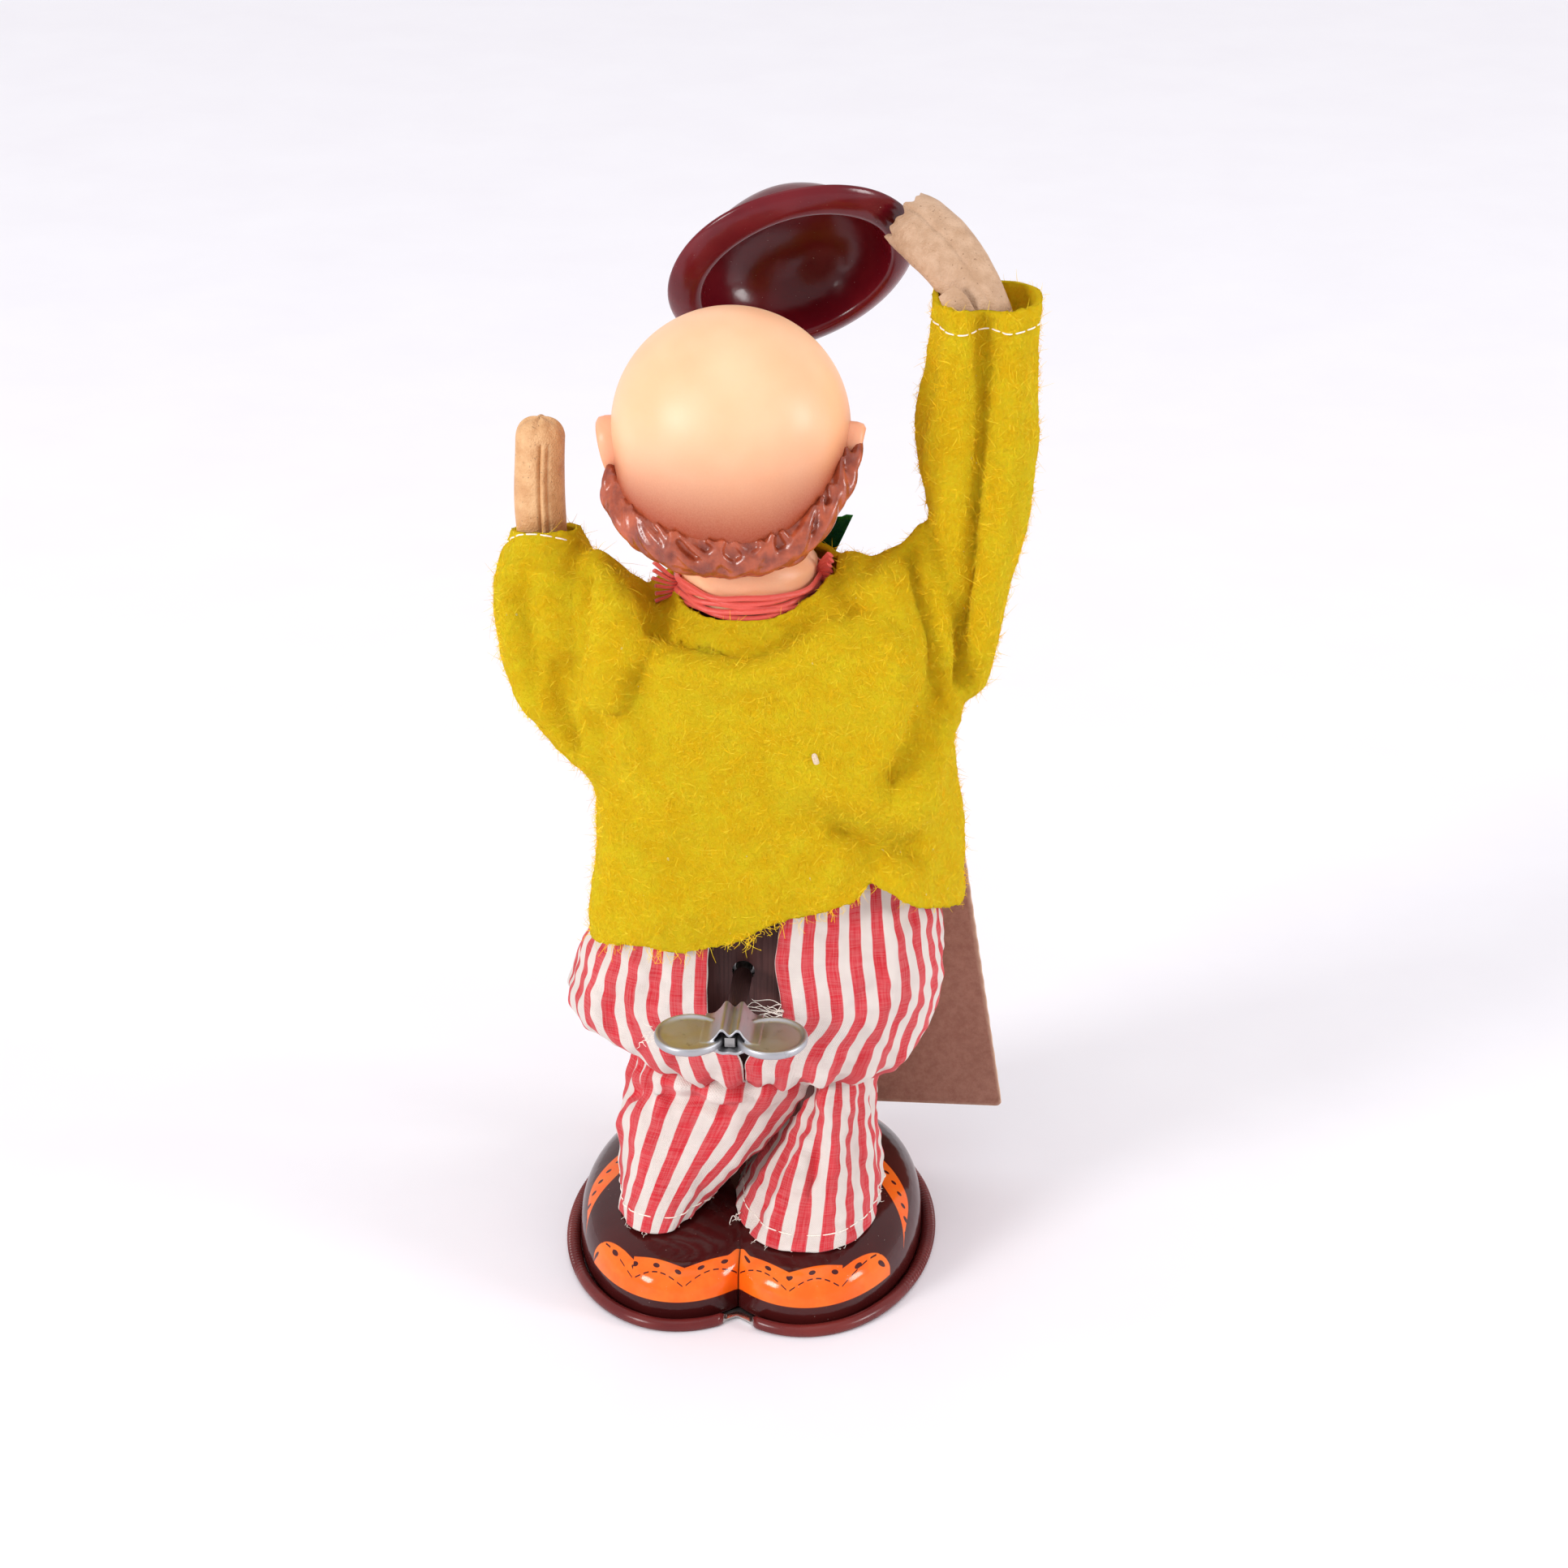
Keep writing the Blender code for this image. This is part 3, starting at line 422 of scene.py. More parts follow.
def fibres(roots, directions, lengths, radius, bend):
    """Many thin curved fibres, each a three-sided prism that narrows to its tip."""
    count, steps = len(roots), 4
    turns = np.linspace(0, 2 * math.pi, 3, endpoint=False)
    side = np.cross(directions, (0.3, 0.5, 0.8))
    side /= np.linalg.norm(side, axis=1)[:, None]
    other = np.cross(directions, side)
    points = np.empty((count, steps, 3, 3))
    for step in range(steps):
        t = step / (steps - 1)
        middle = roots + directions * (lengths * t)[:, None] + bend * (t * t)
        r = radius * (1 - 0.8 * t)
        for k, turn in enumerate(turns):
            points[:, step, k] = middle + (side * math.cos(turn) + other * math.sin(turn)) * r
    one = grid_faces(steps, 3) + [(2, 1, 0), (9, 10, 11)]
    faces = [tuple(n * 12 + i for i in face) for n in range(count) for face in one]
    return points.reshape(-1, 3), faces


def slice_off(obj, point, direction, only=None):
    """Cut away what lies beyond a plane, leaving an open edge."""
    bm = bmesh.new()
    bm.from_mesh(obj.data)
    geom = bm.verts[:] + bm.edges[:] + bm.faces[:]
    if only:
        faces = [f for f in bm.faces if only(f.calc_center_median() / MM)]
        geom = list({v for f in faces for v in f.verts}) + list({e for f in faces for e in f.edges}) + faces
    bmesh.ops.bisect_plane(bm, geom=geom, plane_co=Vector(point) * MM, plane_no=Vector(direction),
                           clear_outer=True)
    bm.to_mesh(obj.data)
    bm.free()


# ---------------------------------------------------------------- camera, floor and light

def make_stage():
    target = Vector((7.4, 0.0, 112.6))
    azimuth, elevation, distance = math.radians(4.5), math.radians(25.0), 850.0
    back = Vector((math.sin(azimuth) * math.cos(elevation), -math.cos(azimuth) * math.cos(elevation),
                   math.sin(elevation)))
    data = bpy.data.cameras.new("camera")
    data.lens, data.sensor_width = 90.0, 36.0
    camera = bpy.data.objects.new("camera", data)
    camera.location = (target + back * distance) * MM
    camera.rotation_mode = "QUATERNION"
    camera.rotation_quaternion = (-back).to_track_quat("-Z", "Y")
    bpy.context.scene.collection.objects.link(camera)
    bpy.context.scene.camera = camera

    look = Look("floor_paper", {"Roughness": 0.55, "Specular IOR Level": 0.3})
    grain = look.noise(look.place(), 0.02)
    look.set({"Base Color": look.mix(grain, rgb(244, 241, 246), rgb(250, 248, 252))})
    half = 3000.0
    floor = put("floor", [(-half, -half, 0), (half, -half, 0), (half, half, 0), (-half, half, 0)],
                [(0, 1, 2, 3)], look)

    world = bpy.data.worlds.new("studio")
    world.use_nodes = True
    world.node_tree.nodes["Background"].inputs["Color"].default_value = rgb(250, 249, 252)
    world.node_tree.nodes["Background"].inputs["Strength"].default_value = 0.82
    bpy.context.scene.world = world
    middle = Vector((0.0, 0.0, 110.0))
    for name, direction, reach, size, power in (("softbox_left", (-0.74, -0.62, 0.36), 2400, 640, 31.0),
                                                ("softbox_right", (0.97, -0.18, 0.26), 2400, 600, 21.0),
                                                ("softbox_top", (0.05, -0.25, 1.0), 3000, 2400, 12.0)):
        lamp = bpy.data.lights.new(name, "AREA")
        lamp.shape, lamp.size, lamp.energy = "SQUARE", size * MM, power
        obj = bpy.data.objects.new(name, lamp)
        d = Vector(direction).normalized()
        obj.location = (middle + d * reach) * MM
        obj.rotation_mode = "QUATERNION"
        obj.rotation_quaternion = (-d).to_track_quat("-Z", "Y")
        bpy.context.scene.collection.objects.link(obj)
    bpy.context.scene.view_settings.view_transform = "Standard"


# ---------------------------------------------------------------- materials

def wear(look, size=0.35):
    """Fine scattered specks, about 0 to 1."""
    return look.noise(look.place(), size, 6.0, 0.7).smooth(0.6, 0.74)


def plain_metal(name, colour, rough, metal=1.0, grain=(0.3, 0.3, 3.0)):
    look = Look(name, {"Metallic": metal})
    streaks = look.noise(look.place(grain), 0.6, 4.0)
    look.set({"Roughness": streaks.smooth(0.2, 0.8) * 0.18 + rough,
              "Base Color": look.mix(wear(look), colour, tuple(c * 0.6 for c in colour[:3]) + (1.0,))})
    look.bump((streaks, 0.02))
    return look


def glossy_tin(name, colour, worn, rough):
    """Lacquered tin: specks of dust, faint waviness and worn spots."""
    look = Look(name, {"Specular IOR Level": 0.32, "IOR": 1.5})
    place = look.place()
    cloud = look.noise(place, 0.06, 3.0)
    specks = look.noise(place, 1.6, 2.0).smooth(0.72, 0.8)
    look.base = look.mix(cloud.smooth(0.35, 0.7) * 0.5, colour, worn)
    look.set({"Base Color": look.mix(specks * 0.5, look.base, rgb(205, 170, 160)),
              "Roughness": specks * 0.3 + (cloud * 0.12 + rough)})
    look.bump((cloud, 0.25), (look.noise(place, 0.9, 2.0), 0.015))
    return look


def rim_look():
    """The shoes' lacquer, scratched off to bare tin where the rim is notched."""
    look = glossy_tin("rim_lacquer", rgb(96, 28, 28), rgb(128, 48, 42), 0.2)
    bare = (look.value("bare") * 1.6 - look.noise(look.place(), 0.8, 4.0)).smooth(0.15, 0.5)
    look.set({"Base Color": look.mix(bare, look.base, rgb(196, 190, 186)), "Metallic": bare})
    return look


def felt_look(name, light, dark, attribute="rest"):
    """Napped felt: matted fibres, mottled colour, a soft sheen and pale lint."""
    look = Look(name, {"Roughness": 1.0, "Sheen Weight": 0.35, "Sheen Roughness": 0.5,
                       "Specular IOR Level": 0.1,
                       "Sheen Tint": light, "Subsurface Weight": 0.4, "Subsurface Scale": 0.004})
    look.set({"Subsurface Radius": (1.0, 0.6, 0.1)})
    place = look.place(attribute=attribute)
    mottle = look.noise(place, 0.16, 5.0, 0.65)
    matted = look.noise(place, 1.1, 4.0, 0.7, 1.5)
    fine = look.noise(look.place((1.0, 1.0, 0.4), attribute), 4.5, 3.0, 0.7, 2.0)
    lint = look.noise(place, 0.7, 1.0).smooth(0.78, 0.82)
    shade = mottle.smooth(0.30, 0.72) * 0.55 + matted.smooth(0.25, 0.75) * 0.35 + fine.smooth(0.3, 0.7) * 0.2
    colour = look.mix(shade, dark, light)
    look.set({"Base Color": look.mix(lint * 0.35, colour, rgb(255, 244, 200))})
    look.bump((matted, 0.75), (fine, 0.4))
    return look


def thread_look(name, dark, light):
    look = Look(name, {"Roughness": 0.8, "Specular IOR Level": 0.2})
    twist = look.noise(look.place(), 2.4, 3.0)
    look.set({"Base Color": look.mix(twist.smooth(0.3, 0.7), dark, light)})
    look.bump((twist, 0.05))
    return look


def nap_look():
    look = Look("wool_fibre", {"Roughness": 0.9, "Specular IOR Level": 0.1, "Subsurface Weight": 0.0})
    shade = look.noise(look.place(), 0.9, 2.0)
    look.set({"Base Color": look.mix(shade.smooth(0.35, 0.65), rgb(255, 200, 18), rgb(255, 226, 60))})
    return look


def cotton_look():
    """Plain weave cotton with printed red stripes on off-white, in the cloth's own coordinates."""
    look = Look("striped_cotton", {"Roughness": 0.95, "Sheen Weight": 0.15, "Specular IOR Level": 0.15})
    u, v, _ = look.split(look.node("ShaderNodeUVMap", {}))
    u, v = u * 100.0, v * 100.0
    wander = look.noise(look.place(attribute="rest"), 0.5, 2.0) - 0.5
    phase = ((u + wander * 0.12) / STRIPE).do("FRACT") - 0.5
    red = phase.near(0.24, 0.035)
    thread = 2.6 * 2 * math.pi
    warp, weft = (u * thread).do("SINE"), (v * thread).do("SINE")
    weave = warp * weft * 0.5 + 0.5
    slub = look.noise(look.node("ShaderNodeCombineXYZ", {"X": u * 3.0, "Y": v * 0.12}), 1.0, 2.0)
    cross = look.noise(look.node("ShaderNodeCombineXYZ", {"X": u * 0.12, "Y": v * 3.0}), 1.0, 2.0)
    fade = look.noise(look.place(attribute="rest"), 0.12, 3.0).smooth(0.3, 0.75)
    ink = look.mix(fade * 0.6 + weave * 0.25, rgb(205, 22, 38), rgb(232, 58, 70))
    bare = look.mix(weave * 0.6 + fade * 0.3, rgb(220, 204, 196), rgb(246, 238, 230))
    colour = look.mix(red, bare, ink)
    threads = (slub + cross).smooth(0.75, 1.25)
    look.set({"Base Color": look.mix(threads * 0.12, colour, rgb(250, 236, 230))})
    look.bump((weave + threads * 0.8, 0.12))
    return look


def shoe_look():
    """Brown lacquer with an orange scalloped trim, from the trim's own coordinates in mm."""
    look = glossy_tin("shoe_lacquer", rgb(58, 16, 16), rgb(78, 24, 22), 0.06)
    u, v, _ = look.split(look.node("ShaderNodeUVMap", {}))
    u, v = u * 100.0, v * 100.0
    x, y, _ = look.split(look.place())
    side = x.do("ABSOLUTE")
    wave = ((side - 11.5) * (math.pi / 11.5)).do("SINE").do("ABSOLUTE")
    inner = side.smooth(2.6, 0.6)
    scallop = wave * 1.5 + (12.7 + inner * 1.3)
    lobe = 1.0 - (((side - 26.0).do("MAXIMUM", 0.0)) / 7.2) ** 2.0
    tip = lobe.do("MAXIMUM", 0.0).do("SQRT") * 8.0 + 4.7
    beyond = side.do("GREATER_THAN", 23.0)
    last = ((side - 23.0) * (math.pi / 8.0)).do("SINE").do("ABSOLUTE") * 0.9 + 12.0
    top = scallop * (1.0 - beyond) + last.do("MINIMUM", tip) * beyond
    ends = y.do("ABSOLUTE").smooth(24.5, 25.5)
    trim = (top - v).smooth(-0.12, 0.12) * (v - 4.7).smooth(-0.12, 0.12) * side.smooth(33.2, 32.9) * ends
    below = top - v
    spots = ((u + 0.6) / 4.9).do("FRACT") - 0.5
    spot = ((spots * 4.9) ** 2.0 / 0.55 + (below - 1.5) ** 2.0 / 0.30).smooth(1.15, 0.85)
    dash_line = (v - (8.2 + wave * 3.0)).near(0.12, 0.1)
    dash = dash_line * ((u / 1.9).do("FRACT") - 0.5).near(0.30, 0.04)
    arc = ((side - -7.0) ** 2.0 + (y + 19.6) ** 2.0).do("SQRT") - 42.7
    taper = (y + 19.0).smooth(0.0, 16.0) * 2.5
    band = (taper - arc.do("ABSOLUTE")).smooth(-0.12, 0.12) * y.smooth(-19.0, -18.6) * y.smooth(26.0, 25.0)
    beads = ((y / 3.6).do("FRACT") - 0.5) * 3.6
    bead = (beads ** 2.0 / 0.5 + (arc - 0.6) ** 2.0 / 0.22).smooth(1.15, 0.85)
    orange = look.mix(look.noise(look.place(), 0.15).smooth(0.35, 0.65), rgb(246, 98, 18), rgb(238, 112, 30))
    dark = rgb(70, 22, 22)
    painted = look.mix(trim, look.base, look.mix((spot + dash).do("MINIMUM", 1.0), orange, dark))
    painted = look.mix(band, painted, look.mix(bead, orange, dark))
    seam = x.near(0.12, 0.12) * y.do("ABSOLUTE").smooth(28.0, 30.0)
    painted = look.mix(seam * 0.8, painted, rgb(24, 8, 8))
    specks = look.noise(look.place(), 1.8, 2.0).smooth(0.73, 0.8)
    look.set({"Base Color": look.mix(specks * 0.5, painted, rgb(215, 190, 180))})
    return look


def skin_look():
    """Satin vinyl with airbrushed shading above the fringe and painted shade on the neck under the head, from
    the weights marked on the mesh.
    """
    look = Look("vinyl_skin", {"Subsurface Weight": 0.18, "Subsurface Scale": 0.004, "IOR": 1.45})
    look.set({"Subsurface Radius": (1.0, 0.35, 0.2)})
    place = look.place()
    cloud = look.noise(place, 0.05, 2.0).smooth(0.3, 0.7)
    base = look.mix(cloud, rgb(252, 188, 144), rgb(253, 199, 158))
    spray = look.noise(place, 3.0, 2.0) * 0.25 + 0.875
    # The shade weights: airbrush paint above the fringe, painted shade on the neck under the head.
    base = look.mix((look.value("shade") * spray).do("MINIMUM", 1.0), base, rgb(158, 58, 22))
    base = look.mix(look.value("blush") * 0.5, base, rgb(238, 128, 96))
    base = look.mix(look.value("lips"), base, rgb(196, 74, 62))
    look.set({"Base Color": base, "Roughness": cloud * 0.08 + 0.36})
    look.bump((look.noise(place, 2.4, 3.0), 0.02))
    return look


def hair_look():
    look = Look("vinyl_hair", {"Coat Weight": 0.22, "Coat Roughness": 0.15, "Subsurface Weight": 0.08,
                               "Subsurface Scale": 0.002})
    place = look.place()
    cloud = look.noise(place, 0.22, 4.0)
    look.set({"Base Color": look.mix(cloud.smooth(0.3, 0.7), rgb(126, 50, 30), rgb(182, 86, 52)),
              "Roughness": cloud * 0.15 + 0.22})
    look.bump((look.noise(place, 1.4, 3.0), 0.05))
    return look


def leatherette_look(name, light, dark):
    look = Look(name, {"IOR": 1.45})
    place = look.place()
    grain = look.node("ShaderNodeTexVoronoi", {"Vector": place, "Scale": 2.2}, "Distance")
    cloud = look.noise(place, 0.25, 5.0)
    pits = look.noise(place, 1.3, 2.0).smooth(0.66, 0.74)
    colour = look.mix(cloud.smooth(0.3, 0.72), dark, light)
    look.set({"Base Color": look.mix(pits * 0.7, colour, rgb(120, 84, 58)), "Roughness": cloud * 0.25 + 0.42})
    look.bump((grain, 0.12), (cloud, 0.2))
    return look


def satin_look():
    look = Look("ribbon_satin", {"Sheen Weight": 0.3, "Anisotropic": 0.6})
    u, v, _ = look.split(look.node("ShaderNodeUVMap", {}))
    threads = (u * 900.0).do("SINE") * 0.5 + 0.5
    glint = look.noise(look.place((1.0, 1.0, 3.0)), 1.2, 3.0)
    look.set({"Base Color": look.mix(threads * 0.5 + glint * 0.4, rgb(206, 44, 40), rgb(242, 112, 96)),
              "Roughness": glint * 0.2 + 0.3})
    look.bump((threads, 0.08), (v * 0.0 + glint, 0.1))
    return look


def card_look():
    look = Look("chipboard", {"Roughness": 0.9, "Specular IOR Level": 0.2})
    place = look.place()
    pulp = look.noise(place, 0.5, 6.0, 0.75)
    flecks = look.noise(look.place((1.0, 1.0, 3.0)), 1.3, 3.0).smooth(0.68, 0.74)
    colour = look.mix(pulp.smooth(0.3, 0.7), rgb(148, 102, 86), rgb(166, 119, 102))
    worn = look.value("edge")
    colour = look.mix(flecks * 0.3, colour, rgb(112, 70, 58))
    look.set({"Base Color": look.mix(worn, colour, rgb(206, 174, 150))})
    look.bump((pulp, 0.08))
    return look


def case_look():
    """The tin body: brown lacquer rubbed in fine vertical lines."""
    look = glossy_tin("case_lacquer", rgb(92, 56, 52), rgb(118, 78, 76), 0.28)
    place = look.place((1.0, 1.0, 0.03))
    lines = look.noise(place, 2.2, 3.0)
    look.set({"Base Color": look.mix(lines.smooth(0.45, 0.7) * 0.55, look.base, rgb(58, 30, 28)),
              "Specular IOR Level": 0.2})
    return look


# ---------------------------------------------------------------- shoes

def shoe_radius(angle, inset=0.0):
    """Distance from the middle to the outline of the two shoes, in a direction."""
    a, b = SHOE_A - inset, SHOE_B - inset
    dx, dy = np.cos(angle), np.sin(angle)
    reach = []
    for side in (-1, 1):
        cx = side * SHOE_X
        p = (dx / a) ** 2 + (dy / b) ** 2
        q = -2 * dx * cx / a ** 2
        s = (cx / a) ** 2 - 1
        reach.append((-q + np.sqrt(q * q - 4 * p * s)) / (2 * p))
    return 0.5 * (reach[0] + reach[1] + np.hypot(reach[0] - reach[1], 1.2))


def shoe_height(x, y):
    """Height of the shoe shell's outer surface."""
    a, b = SHOE_A - RIM, SHOE_B - RIM
    rho = np.minimum(np.hypot((x - SHOE_X) / a, y / b), np.hypot((x + SHOE_X) / a, y / b))
    return SHELL_FOOT + SHELL_RISE * np.maximum(0.0, 1 - rho ** 4) ** 0.25


def make_shoes(looks):
    count, rows = 480, 56
    angles = np.linspace(0, 2 * math.pi, count, endpoint=False)
    foot = shoe_radius(angles, RIM)
    lean = (np.linspace(0, 1, rows) ** 1.6) * math.pi / 2
    parts = np.cos(lean) ** 0.5
    parts[-1] = 0.004
    rings = []
    for part in parts:
        x, y = foot * part * np.cos(angles), foot * part * np.sin(angles)
        rings.append(np.column_stack([x, y, shoe_height(x, y)]))
    rings[0][:, 2] = SHELL_FOOT
    rings = np.array(rings)
    climb = np.vstack([np.zeros((1, count)), np.cumsum(np.linalg.norm(np.diff(rings, axis=0), axis=2),
                            axis=0)])
    points, faces = lofted(rings)
    uv = [(points[i][0] / 100, climb.ravel()[i] / 100) for face in faces for i in face]
    shell = put("shoe_shell_skin", points, faces, looks["shoe"], "toy_body", "shoe_tin", uv, sharp=50)
    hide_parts("shoe_shell")

    count = 1440
    angles = np.linspace(0, 2 * math.pi, count, endpoint=False)
    sideways = np.clip((np.abs(np.cos(angles)) - 0.80) / 0.12, 0, 1)
    crimp = sideways * (0.5 + 0.5 * np.sin(angles * 240)) ** 2
    notch = np.exp(-((angles - 1.5 * math.pi - 0.012) / 0.085) ** 8)
    dents = 0.25 * np.sin(angles * 7 + 1.0) * np.sin(angles * 13)
    profile = [(1.3, 0.0), (0.4, 0.25), (0.05, 0.8), (0.0, 1.4), (0.3, 2.1), (0.9, 2.55), (1.5, 2.65),
               (2.1, 2.5), (2.6, 2.15), (2.9, 1.6), (3.0, 0.9), (2.9, 0.8)]
    rings = []
    for inset, z in profile:
        high = max(z - 0.9, 0.0)
        inward = inset + crimp * 0.35 * (z > 0.3) + notch * (1.2 if inset < 1.6 else 0.0)
        r = shoe_radius(angles, 0.0) - inward
        height = z - notch * high * 0.85 - crimp * high * 0.18 + dents * high * 0.15
        rings.append(np.column_stack([r * np.cos(angles), r * np.sin(angles), height]))
    rings.append(rings[0])
    points = np.array(rings[:-1]).reshape(-1, 3)
    faces = grid_faces(len(profile), count)
    last = (len(profile) - 1) * count
    for c in range(count):
        n = (c + 1) % count
        faces.append((last + c, last + n, n, c))
    inner = len(points)
    plate = [shoe_radius(angles, 1.3) * f for f in (0.5, 0.02)]
    for r in plate:
        points = np.vstack([points, np.column_stack([r * np.cos(angles), r * np.sin(angles), 0 * angles])])
    rim = put("crimped_rim", points[:inner], outward(points[:inner], faces), looks["rim"], "toy_body",
              "rim_tin")
    mark(rim, "bare", np.tile(notch, len(profile)))
    base_low = shoe_radius(angles[::4], 1.4)
    base = [np.column_stack([base_low * np.cos(angles[::4]), base_low * np.sin(angles[::4]),
                            0 * base_low + z])
            for z in (0.0, 0.75)]
    points, faces = lofted(base)
    bottom = put("base_sheet", points, faces, looks["steel"], "toy_body", "rim_tin")
    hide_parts("base_plate")


# ---------------------------------------------------------------- head

def hair_edges(azimuth):
    """Elevations of the fringe's upper and lower edge, in degrees, seen from the head's middle."""
    top = np.interp(azimuth, [-88, -74, -60, -42, -26, -6, 10, 24, 34, 48, 62, 78, 90],
                    [-13, -20, -27, -31, -34, -36, -37, -36, -33, -26, -17, -6, 2])
    low = np.interp(azimuth, [-90, -80, -68, -50, -38, -20, 4, 30, 46, 62, 74, 84, 92],
                    [-20, -34, -45, -52, -55, -58, -60, -57, -52, -42, -33, -24, -12])
    return top, low


def head_radius(elevation):
    """Distance of the head's surface from its middle, at an elevation in degrees."""
    low = np.clip((-elevation - 8) / 40, 0, 1)
    low = low * low * (3 - 2 * low)
    return HEAD_R + 4.6 * low


def direction(azimuth, elevation):
    """A unit vector; azimuth 0 is straight back, both in degrees."""
    a, e = np.radians(azimuth), np.radians(elevation)
    return np.stack([np.sin(a) * np.cos(e), -np.cos(a) * np.cos(e), np.sin(e)], -1)


def face_spot(across, up, centre_up=-2.0):
    """A direction on the face: degrees to the figure's side and above the level of its eyes."""
    return direction(180 - math.degrees(FACE_TURN) + across, centre_up + up)


def make_head(looks):
    cols = 240
    azimuth = np.linspace(-180, 180, cols, endpoint=False)
    elevation = np.concatenate([np.linspace(89.3, -56, 150), np.linspace(-57.2, -62, 5)])
    az, el = np.meshgrid(azimuth, elevation)
    d = direction(az, el)
    radius = head_radius(el)

    def bump(spot, height, wide, tall):
        """A soft swelling at a direction, its widths in degrees."""
        side = np.cross((0, 0, 1), spot)
        side /= np.linalg.norm(side)
        above = np.cross(spot, side)
        fall = np.exp(-((d @ side) / math.radians(wide)) ** 2 - ((d @ above) / math.radians(tall)) ** 2)
        return height * fall * (d @ spot > 0)

    for spot, height, wide, tall in (
            (face_spot(0, -9), 1.6, 4.5, 11.0), (face_spot(0, -16), 3.2, 6.5, 5.5),
            (face_spot(-7, -18), 1.1, 3.6, 3.4), (face_spot(7, -18), 1.1, 3.6, 3.4),
            (face_spot(-17, 0), -1.3, 8.5, 6.0), (face_spot(17, 0), -1.3, 8.5, 6.0),
            (face_spot(-17, 9), 0.7, 12.0, 4.0), (face_spot(17, 9), 0.7, 12.0, 4.0),
            (face_spot(-25, -17), 1.2, 12.0, 10.0), (face_spot(25, -17), 1.2, 12.0, 10.0),
            (face_spot(0, -27), 1.0, 9.0, 2.2), (face_spot(0, -33), 1.2, 7.0, 2.4),
            (face_spot(0, -30), -0.7, 10.0, 1.0), (face_spot(0, -38), -0.6, 8.0, 2.5),
            (face_spot(0, -46), 1.8, 9.0, 6.5), (face_spot(0, -50), 1.0, 24.0, 12.0)):
        radius = radius + bump(spot, height, wide, tall)
    points = HEAD + d * radius[..., None]
    neck_low = []
    ring_z = np.linspace(points[-1, :, 2].mean() - 1.2, NECK_Z, 9)
    last = points[-1]
    for i, z in enumerate(ring_z):
        share = min(1.0, (i + 1) / 3)
        circle = np.column_stack([NECK_R * np.sin(np.radians(azimuth)), -NECK_R * np.cos(np.radians(azimuth)),
                                  0 * azimuth + z])
        blend = last * (1 - share) + circle * share
        blend[:, 2] = last[:, 2] * (1 - share) + z * share
        neck_low.append(blend)
    rings = np.concatenate([points, np.array(neck_low)])
    flat, faces = lofted(rings)
    head = put("head_vinyl", flat, faces, looks["skin"], "head", "skin", sharp=60)
    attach(head, "head")
    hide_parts("head")

    p = points_of(head) - HEAD
    r = np.linalg.norm(p, axis=1)
    el = np.degrees(np.arcsin(p[:, 2] / r))
    az = np.degrees(np.arctan2(p[:, 0], -p[:, 1]))
    top, _ = hair_edges(az)
    behind = np.clip((112 - np.abs(az)) / 44, 0, 1)
    above = el - top
    reach = 14.0 + 16.0 * np.exp(-(np.abs(az) / 52) ** 4)
    shade = np.where(above > 0, np.exp(-(np.maximum(above, 0) / reach) ** 1.6), 1.0)
    shade *= behind * np.clip((el + 68) / 4, 0, 1)
    # Below the fringe the weight is capped at 0.28: on the neck under the head this is painted shade.
    shade = np.where(above < -4, np.minimum(shade, 0.28), shade)
    mark(head, "shade", 0.95 * shade)
    d = p / r[:, None]
    blush = sum(np.exp(-(np.degrees(np.arccos(np.clip(d @ face_spot(s * 27, -17), -1, 1))) / 11) ** 2)
                for s in (-1, 1))
    mark(head, "blush", blush)
    side = np.cross((0, 0, 1), face_spot(0, -30))
    side /= np.linalg.norm(side)
    across = np.degrees(d @ side)
    up = el + 2.0 + 30.0
    facing = d @ face_spot(0, -20) > 0.5
    lips = facing * np.clip((1 - (across / 10.5) ** 2) * 4.6 - np.abs(up), 0, 1)
    mark(head, "lips", lips * 0.85)
    make_ears(looks)
    make_hair(looks)
    make_face_paint(looks)


def on_head(azimuth, elevation, lift=0.0):
    return HEAD + direction(azimuth, elevation) * (head_radius(elevation) + lift)[..., None]


def make_ears(looks):
    for side, name in ((-1, "left_ear"), (1, "right_ear")):
        azimuth = side * 88.0
        centre = on_head(np.array(azimuth), np.array(-12.0), -0.5)
        out = direction(azimuth, -12.0)
        up = np.array((0.0, 0.0, 1.0))
        up = up - out * out.dot(up)
        up /= np.linalg.norm(up)
        across = np.cross(out, up)
        rings = []
        for height, size in ((-2.0, 1.0), (0.8, 1.06), (2.2, 1.04), (2.9, 0.92), (2.9, 0.78), (2.0, 0.66),
                             (1.2, 0.45), (1.0, 0.1)):
            turn = np.linspace(0, 2 * math.pi, 48, endpoint=False)
            lobe = 1 - 0.18 * np.cos(turn - math.pi / 2 * 0)
            tall = 6.4 * (1 + 0.06 * np.sin(turn))
            wide = 4.0 * (1 + 0.28 * np.sin(turn)) * lobe
            ring = centre + out * height + np.outer(np.sin(turn) * tall * size, up) \
                + np.outer(np.cos(turn) * wide * size, across)
            rings.append(ring)
        points, faces = lofted(rings)
        ear = put(name, points, faces, looks["skin"], None, "skin", sharp=80)
        mark(ear, "shade", np.full(len(ear.data.vertices), 0.12))
        mark(ear, "blush", np.full(len(ear.data.vertices), 0.6))
        mark(ear, "lips", np.zeros(len(ear.data.vertices)))
        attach(ear, "head")


